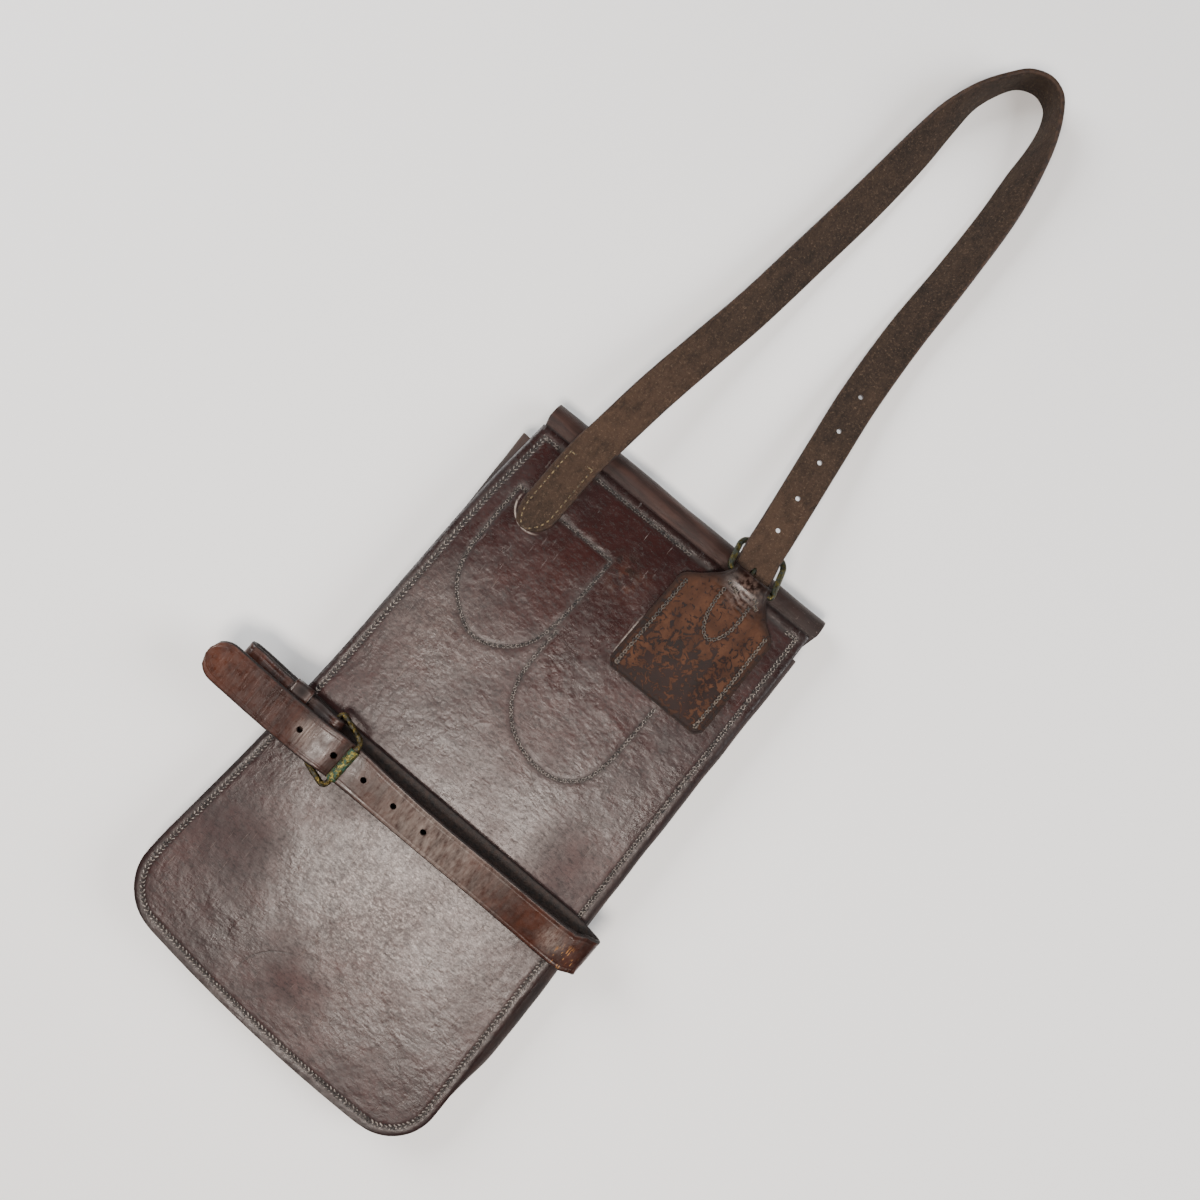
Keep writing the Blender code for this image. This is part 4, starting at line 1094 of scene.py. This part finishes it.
def strap_stations():
    points = smooth_route(STRAP_ROUTE, 3.0)
    fine = smooth_route(STRAP_ROUTE[:2], 1.0)[:18]
    points = fine + [p for p in points if p["y"] > fine[-1]["y"] + 1.0 or p["x"] > -40.0]
    base = [place_of(p) for p in points]
    stations, trims = [], []
    for place, forward, point in zip(base, tangents(base), points):
        lean = math.radians(point["lean"])
        out = Vector((-forward.y, forward.x, 0.0)).normalized()
        side = out * math.cos(lean) + Vector((0, 0, math.sin(lean)))
        side = (side - forward * side.dot(forward)).normalized()
        up = forward.cross(side).normalized()
        middle = place + side * STRAP_WIDTH / 2 + up * STRAP_THICKNESS / 2
        stations.append((middle, side, up))
        trims.append(strap_edges(abs(point["y"] - STRAP_ROUTE[0]["y"])) if point["x"] < -50
                     else (-STRAP_WIDTH / 2, STRAP_WIDTH / 2))
    return stations, trims


def shoulder_strap(materials):
    stations, trims = strap_stations()

    def section(index):
        low, high = trims[index]
        return strap_section(low, high, STRAP_THICKNESS, STRAP_CREASE_INSET)

    piece = swept("shoulder_strap_leather", stations, section, materials,
                  replaced=["shoulder_strap"], slot="strap_leather")
    right = [s[0] for s in stations if s[0].x > 20.0]
    reach = Vector((0.0, 0.0, STRAP_PUNCH_REACH))
    rods = []
    for number in range(STRAP_OPEN_HOLES):
        wanted = STRAP_PRONG_HOLE_Y + STRAP_HOLE_PITCH * (number + 1) * STRAP_HOLE_SLOPE
        middle = min(right, key=lambda m: abs(m.y - wanted))
        rods.append((middle - reach, middle + reach, STRAP_HOLE_RADIUS))
    rods.append((STRAP_PRONG_START, STRAP_PRONG_END, PRONG_HOLE_RADIUS))
    punch(piece, rods)
    return stations, trims


def strap_stitches(stations, trims, thread):
    """A single row of pale stitches round the sewn end, 4 mm apart, with a bar across its top."""
    inset, last = STRAP_STITCHES["inset"], STRAP_STITCHES["length"]
    left, right = [], []
    for (middle, side, up), (low, high) in zip(stations, trims):
        if middle.x > -40.0 or middle.y - STRAP_ROUTE[0]["y"] > last:
            continue
        if high - low > inset * 2.2:
            left.append(middle + side * (high - inset) + up * STRAP_THICKNESS / 2)
            right.append(middle + side * (low + inset) + up * STRAP_THICKNESS / 2)
    path = resample(left[::-1] + right, STRAP_STITCHES["pitch"])
    rows = []
    for point, forward in zip(path, tangents(path)):
        place = point + Vector((0, 0, 0.1))
        rows.append((place, math.atan2(forward.y, forward.x), STRAP_STITCHES["size"]))
    for end in (left[-1], right[-1]):
        for step in (0.0, 1.7):
            toward = -1.0 if end is right[-1] else 1.0
            place = end + Vector((toward * (1.2 + step), 0.6, 0.1))
            rows.append((place, 0.15, STRAP_STITCHES["bar size"]))
    lay_stitches("strap_end_stitching", rows, thread)


# Chape


def chape_rows():
    """Rows of the chape's middle from its folded end, round the bar, to its bottom edge."""
    rows = [dict(r, over=0.0) for r in smooth_route(CHAPE_UNDER, 3.0)]
    for i in range(1, 20):
        turn = -math.pi / 2 + math.pi * i / 20
        rows.append({"y": BAR_Y + CHAPE_LOOP_RADIUS * math.cos(turn),
                     "z": BAR_Z + CHAPE_LOOP_RADIUS * math.sin(turn),
                     "half": CHAPE_TOP_HALF_SPREAD, "over": 0.0 if i < 10 else 1.0})
    first = {"y": BAR_Y - 0.5, "z": BAR_Z + CHAPE_LOOP_RADIUS, "half": CHAPE_TOP_HALF_SPREAD}
    over = smooth_route([first] + CHAPE_OVER, 1.1)
    rows += [dict(r, over=1.0) for r in over]
    for i in range(1, 5):
        share = i / 4
        rows.append({"y": between(CHAPE_OVER[-1]["y"], CHAPE_BOTTOM_Y, share),
                     "z": CHAPE_BOTTOM_Z,
                     "half": between(CHAPE_OVER[-1]["half"], CHAPE_BOTTOM_HALF, share),
                     "over": 1.0})
    return rows


def chape_surface(row, aside):
    """Height of the patch: raised over the strap's tail, puckered above the inner stitches."""
    flat_z = BACK_TOP_Z + CLEAR + CHAPE_THICKNESS / 2
    fall = smooth_step((abs(aside) - CHAPE_TOP_HALF_SPREAD)
                       / (CHAPE_FOLD_SPREAD - CHAPE_TOP_HALF_SPREAD))
    z = between(row["z"], flat_z, fall)

    def band(form):
        return (math.exp(-((row["y"] - form["y"]) / form["reach"]) ** 2)
                * (1 - smooth_step(abs(aside) / form["half"])))

    bend = row["y"] + 1.3 * math.sin(aside / 5.0) + 0.8 * noise.noise(Vector((aside / 4, 0, 0)))
    fold = abs(math.sin(bend * math.pi / CHAPE_PUCKERS["pitch"])) ** 4
    z -= CHAPE_PUCKERS["depth"] * band(CHAPE_PUCKERS) * fold
    z += CHAPE_DOME["height"] * band(CHAPE_DOME)
    edge_line = min(row["half"] - abs(aside), row["y"] - CHAPE_BOTTOM_Y)
    return z - CHAPE_CREASE["depth"] * math.exp(
        -((edge_line - CHAPE_CREASE["inset"]) / CHAPE_CREASE["width"]) ** 2)


def chape(leather, edge):
    rows = chape_rows()
    columns = 96

    def place(column, row):
        data = rows[row]
        aside = (2 * edge_crowding(column / columns) - 1) * data["half"]
        z = chape_surface(data, aside) if data["over"] else data["z"]
        return Vector((CHAPE_MIDDLE_X + aside, data["y"], z))

    mesh = placed_grid(columns, len(rows) - 1, place)
    outline = [Vector((CHAPE_MIDDLE_X + side * r["half"], r["y"], 0.0))
               for r in rows if r["over"] for side in (-1, 1)]
    outline += [Vector((CHAPE_MIDDLE_X + x, CHAPE_BOTTOM_Y, 0.0))
                for x in range(-CHAPE_BOTTOM_HALF, CHAPE_BOTTOM_HALF + 1)]
    keep_marks(mesh, {"rim": (line_finder(outline), RIM_REACH)})
    piece = leather_sheet("strap_chape", "patch_leather", mesh, [leather, edge],
                          CHAPE_THICKNESS, 0.4, 0.0)
    punch(piece, [(STRAP_PRONG_START, STRAP_PRONG_END, PRONG_HOLE_RADIUS)])


def chape_height(x, y):
    rows = [dict(r) for r in CHAPE_OVER]
    row = {c: read_curve(rows, "y", c, y) for c in ("z", "half")}
    row["y"] = y
    return chape_surface(row, x - CHAPE_MIDDLE_X) + CHAPE_THICKNESS / 2


CHAPE_LINES = {
    "left side": [(24.6, 183.5), (24.0, 150.0), (23.4, 118.5)],
    "right side": [(85.8, 186.0), (86.6, 150.0), (86.2, 118.5)],
    "inner tongue": [(45.6, 194.0), (46.0, 184.0), (48.2, 173.0), (52.5, 165.5), (57.5, 163.5),
                     (62.0, 167.5), (65.0, 176.0), (65.4, 186.0), (64.8, 194.0)],
}
CHAPE_TACKS = [(44.8, 199.5), (50.0, 198.0), (63.6, 200.5), (66.5, 197.0)]
CHAPE_KNOTS = [(23.6, 117.5), (86.2, 117.5)]


def chape_stitches(thread):
    rows = []
    for name, places in CHAPE_LINES.items():
        path = resample(flat_route(places), STITCH_PITCH / 2)
        rows += herringbone(path, chape_height, *STITCHES["patch"], chain=True)
    for x, y in CHAPE_TACKS:
        for step in range(4):
            rows.append((Vector((x + 0.9 * step, y - 0.5 * step, chape_height(x, y - 3.0) + 0.9)),
                         1.2, (3.2, 1.1, 1.2)))
    for x, y in CHAPE_KNOTS:
        for step in range(5):
            turn = step * 1.25
            place = Vector((x + 0.9 * math.cos(turn), y + 0.9 * math.sin(turn),
                            chape_height(x, y) + 0.5))
            rows.append((place, turn + 1.4, (3.4, 1.3, 1.4)))
    lay_stitches("chape_stitching", rows, thread)


# Brass


def rounded_loop(corners, arc_steps=12):
    """A closed path through corners, each with its own radius."""
    points = []
    count = len(corners)
    places = [place_of(c) for c in corners]
    for i in range(count):
        here, before, after = places[i], places[i - 1], places[(i + 1) % count]
        start = here + (before - here).normalized() * corners[i]["round"]
        end = here + (after - here).normalized() * corners[i]["round"]
        for j in range(arc_steps + 1):
            t = j / arc_steps
            points.append(start * (1 - t) ** 2 + here * 2 * t * (1 - t) + end * t**2)
    path = []
    for point, after in zip(points, points[1:] + points[:1]):
        steps = max(1, int((after - point).length / LOOP_STEP))
        path += [point.lerp(after, s / steps) for s in range(steps)]
    return path


def wire_frame(name, corners, radius, material, node):
    """A cast wire frame, a little uneven in thickness."""
    path = rounded_loop(corners)
    count = len(path)
    middle = sum(path, Vector()) / count
    normal = (path[0] - middle).cross(path[count // 4] - middle).normalized()
    stations = [(point, forward.cross(normal).normalized(), normal)
                for point, forward in zip(path, ring_tangents(path))]

    def section(index):
        swell = 1.0 + 0.06 * noise.noise(path[index] / 4.0)
        return round_section(radius * swell, 16)

    return swept(name, stations, section, [material], closed_path=True,
                 replaced=[node], slot="buckle_brass")


def prong(name, start, end, material, node):
    """A tapered round prong with a blunt tip."""
    start, end = Vector(start), Vector(end)
    forward = (end - start).normalized()
    side = forward.cross(Vector((0, 0, 1))).normalized()
    up = side.cross(forward)
    steps = 14
    stations = [(start.lerp(end, i / steps), side, up) for i in range(steps + 1)]

    def section(index):
        share = index / steps
        radius = PRONG_RADIUS * (1.0 - 0.25 * share) * math.sqrt(clamp((1.0 - share) * 9.0, 0.2))
        return round_section(radius, 14)

    return swept(name, stations, section, [material], replaced=[node], slot="buckle_brass")


def roller(material):
    """A rolled tube with slightly narrowed ends, worn uneven."""
    low, high = BELT_BUCKLE_CORNERS[2], BELT_BUCKLE_CORNERS[3]
    start, end = place_of(low), place_of(high)
    middle, forward = (start + end) / 2, (end - start).normalized()
    up = Vector((0.0, 0.0, 1.0))
    side = forward.cross(up).normalized()
    up = side.cross(forward)
    steps = 30
    outer = [ROLLER_RADIUS * (1.0 + 0.05 * noise.noise(Vector((i * 0.3, 0.0, 0.0)))
                              - (0.12 if i in (0, steps) else 0.0)) for i in range(steps + 1)]
    inner = BELT_WIRE_RADIUS + CLEAR
    profile = [(i / steps - 0.5, r) for i, r in enumerate(outer)] + [(0.5, inner), (-0.5, inner)]
    sides = 28
    stations = []
    for j in range(sides):
        turn = 2 * math.pi * j / sides
        stations.append((middle, forward, side * math.cos(turn) + up * math.sin(turn)))

    def section(index):
        return [(a * ROLLER_LENGTH, r, 0) for a, r in profile]

    return swept("belt_roller_brass", stations, section, [material], closed_path=True,
                 replaced=["belt_roller"], slot="buckle_brass", smooth_angle=35.0)


# Belt


def belt_route():
    """The belt's middle from its folded end, round the bar and both folds, to the tip."""
    tail_z = BELT_BAR["z"] - BELT_BAR_LOOP
    rows = [{"x": between(BELT_TAIL_END_X, BELT_BAR["x"], i / 6), "y": BELT_CHAPE_Y,
             "z": tail_z, "lean": 0.0} for i in range(6)]
    steps = 18

    def fold(middle, radius, first, last, y, lean):
        for i in range(steps):
            share = i / steps
            turn = between(first, last, share)
            rows.append({"x": middle["x"] + radius * math.cos(turn), "y": y,
                         "z": middle["z"] + radius * math.sin(turn), "lean": lean * share})

    fold(BELT_BAR, BELT_BAR_LOOP, -math.pi / 2, math.pi / 2, BELT_CHAPE_Y, 0.0)
    rows.extend(smooth_route(BELT_CHAPE, 2.5))
    fold(BELT_LEFT_FOLD, BELT_LEFT_FOLD["radius"], math.pi / 2, 3 * math.pi / 2,
         BELT_LEFT_FOLD["y"], 0.0)
    under = list(BELT_UNDER)
    reach = BELT_WIDTH / 2 - 0.5
    for i in range(BELT_UNDER_STEPS + 1):
        x = between(*BELT_UNDER_X, i / BELT_UNDER_STEPS)
        y = between(*BELT_UNDER_Y, i / BELT_UNDER_STEPS)
        height = max(panel_top(x, y + side) for side in (-reach, 0.0, reach))
        under.append({"x": x, "y": y, "z": height + CLEAR + 0.1 + BELT_THICKNESS / 2, "lean": 0.0})
    rows.extend(smooth_route(under, 4.0))
    fold(BELT_RIGHT_FOLD, BELT_RIGHT_FOLD["radius"], -math.pi / 2, math.pi / 2,
         BELT_RIGHT_FOLD["y"], 10.0)
    rows.extend(smooth_route(BELT_TOP, 2.5))
    return rows


def belt(materials):
    rows = belt_route()
    middles = [place_of(r) for r in rows]
    half = BELT_WIDTH / 2
    tip_x = BELT_TOP[-1]["x"]
    stations, trims = [], []
    for index, (row, forward) in enumerate(zip(rows, tangents(middles))):
        lean = math.radians(row["lean"])
        side = Vector((0, math.cos(lean), math.sin(lean)))
        side = (side - forward * side.dot(forward)).normalized()
        stations.append((middles[index], side, forward.cross(side)))
        to_tip = row["x"] - tip_x if index > len(rows) // 2 else BELT_WIDTH
        share = clamp(to_tip / BELT_TIP_LENGTH)
        reach = half * (0.2 + 0.8 * math.sqrt(max(1 - (1 - share) ** 2, 0.0)))
        trims.append((-reach, reach))

    def section(index):
        low, high = trims[index]
        return strap_section(low, high, BELT_THICKNESS, BELT_CREASE_INSET)

    piece = swept("belt_leather", stations, section, materials, replaced=["belt"],
                  slot="belt_leather")
    top = middles[len(middles) * 2 // 3:]
    rods = []
    for x in BELT_HOLES_X:
        near = min(top, key=lambda m: abs(m.x - x))
        rods.append(((x, near.y, near.z - BELT_PUNCH_REACH),
                     (x, near.y, near.z + BELT_PUNCH_REACH), BELT_HOLE_RADIUS))
    rods.append((BELT_PRONG_START, BELT_PRONG_END, PRONG_HOLE_RADIUS))
    punch(piece, rods)


def keeper(materials):
    """A flat leather ring round the chape, left of the buckle."""
    middle = Vector((sum(KEEPER_X) / 2, BELT_CHAPE_Y, KEEPER_Z))
    half_y = BELT_WIDTH / 2 + CLEAR + 0.2 + KEEPER_THICKNESS / 2
    half_z = BELT_THICKNESS / 2 + CLEAR + 0.1 + KEEPER_THICKNESS / 2
    corners = [{"x": middle.x, "y": middle.y + a * half_y, "z": middle.z + b * half_z,
                "round": KEEPER_ROUND} for a, b in ((-1, -1), (1, -1), (1, 1), (-1, 1))]
    path = rounded_loop(corners, 5)
    width = KEEPER_X[1] - KEEPER_X[0]
    side = Vector((-1.0, 0.0, 0.0))
    stations = [(point, side, forward.cross(side))
                for point, forward in zip(path, ring_tangents(path))]

    def section(index):
        return strap_section(-width / 2, width / 2, KEEPER_THICKNESS, KEEPER_CREASE_INSET, 0.5, 4)

    return swept("belt_keeper_leather", stations, section, materials, closed_path=True,
                 replaced=["belt_keeper"], slot="belt_leather")


# Stage


CAMERA_PLACE = (-8.5, 140.0, 750.0)
CAMERA_TURN = 39.5
FIELD_AT_FLOOR = 769.2
SENSOR_WIDTH = 36.0


def stage():
    """Floor, camera and lights; the lights' places and sizes are metres."""
    table_top = bmesh.new()
    bmesh.ops.create_grid(table_top, x_segments=1, y_segments=1, size=3.0)
    floor = add_object("floor", mesh_data("floor", table_top, 1.0))
    floor.data.materials.append(Finish("matt white table", "#f2f2f2").done(0.9))

    camera = add_object("camera", bpy.data.cameras.new("camera"))
    camera.data.sensor_width = SENSOR_WIDTH
    camera.data.lens = SENSOR_WIDTH * CAMERA_PLACE[2] / FIELD_AT_FLOOR
    camera.location = [v * MM for v in CAMERA_PLACE]
    camera.rotation_euler = (0.0, 0.0, math.radians(CAMERA_TURN))
    bpy.context.scene.camera = camera

    world = bpy.data.worlds.new("soft room")
    world.use_nodes = True
    glow = world.node_tree.nodes["Background"].inputs
    glow["Color"].default_value = colour("#ffffff")
    glow["Strength"].default_value = 0.12
    bpy.context.scene.world = world

    def soft_box(name, place, aim, size, power, tint):
        light = add_object(name, bpy.data.lights.new(name, "AREA"))
        light.data.color = colour(tint)[:3]
        light.data.shape = "RECTANGLE"
        light.data.size, light.data.size_y = size
        light.data.energy = power
        light.location = place
        direction = Vector(aim) - Vector(place)
        light.rotation_euler = direction.to_track_quat("-Z", "Y").to_euler()

    soft_box("key soft box", (0.10, -0.42, 1.45), (0.0, 0.0, 0.0), (0.55, 0.4), 26.0, "#fff4ea")
    soft_box("left soft box", (-1.5, 0.4, 1.1), (0.0, 0.1, 0.0), (1.1, 1.1), 40.0, "#ffffff")
    soft_box("right soft box", (1.5, 0.9, 1.1), (0.0, 0.1, 0.0), (1.1, 1.1), 40.0, "#ffffff")


def build_case():
    leather = body_leather()
    dark_edge = cut_edge("rubbed dark edge", "#0e0807", "#1d110e")
    tan_edge = cut_edge("raw tan edge", "#23160f", "#3f2a1c")
    back_panel(leather, dark_edge)
    front_panel(leather, dark_edge)
    flap(roll_leather(), tan_edge)
    gusset(gusset_leather(), dark_edge)
    panel_stitches(waxed_thread("dark waxed thread", "#0c0908", "#8a8079", 0.42))
    nap = flesh_side()
    burnished = cut_edge("burnished strap edge", "#1a0f0a", "#3a271a")
    stations, trims = shoulder_strap([belt_leather(), burnished, nap])
    strap_stitches(stations, trims, waxed_thread("pale linen thread", "#2c2115", "#9a845c", 0.6))
    chape(patch_leather(), dark_edge)
    chape_stitches(waxed_thread("grey waxed thread", "#120d0b", "#63574c", 0.45))
    brass = aged_brass("dull cast brass", 0.55, ("#1e180d", "#66572e", "#0c0e09", "#232214"))
    green = aged_brass("brass with verdigris", 0.75, ("#2c2813", "#94874a", "#030d09", "#134630"))
    dark_brass = aged_brass("blackened brass", 0.75, ("#24210f", "#574e2b", "#080c08", "#232b1c"))
    wire_frame("strap_buckle_brass", STRAP_BUCKLE_CORNERS, BUCKLE_WIRE_RADIUS, dark_brass,
               "strap_buckle")
    prong("strap_prong_brass", STRAP_PRONG_START, STRAP_PRONG_END, dark_brass, "strap_buckle_prong")
    strap = belt_leather()
    # The belt's flesh side is darkened as painted shade between its layers
    shaded_flesh_side = cut_edge("belt flesh side in painted shade", "#0f0907", "#251812")
    belt([strap, dark_edge, shaded_flesh_side])
    keeper([strap, dark_edge, shaded_flesh_side])
    wire_frame("belt_buckle_brass", BELT_BUCKLE_CORNERS, BELT_WIRE_RADIUS, brass, "belt_buckle")
    roller(green)
    start, end = Vector(BELT_PRONG_START), Vector(BELT_PRONG_END)
    start += (end - start).normalized() * (BELT_WIRE_RADIUS + CLEAR)
    prong("belt_prong_brass", start, end, brass, "belt_prong")


build_case()
stage()
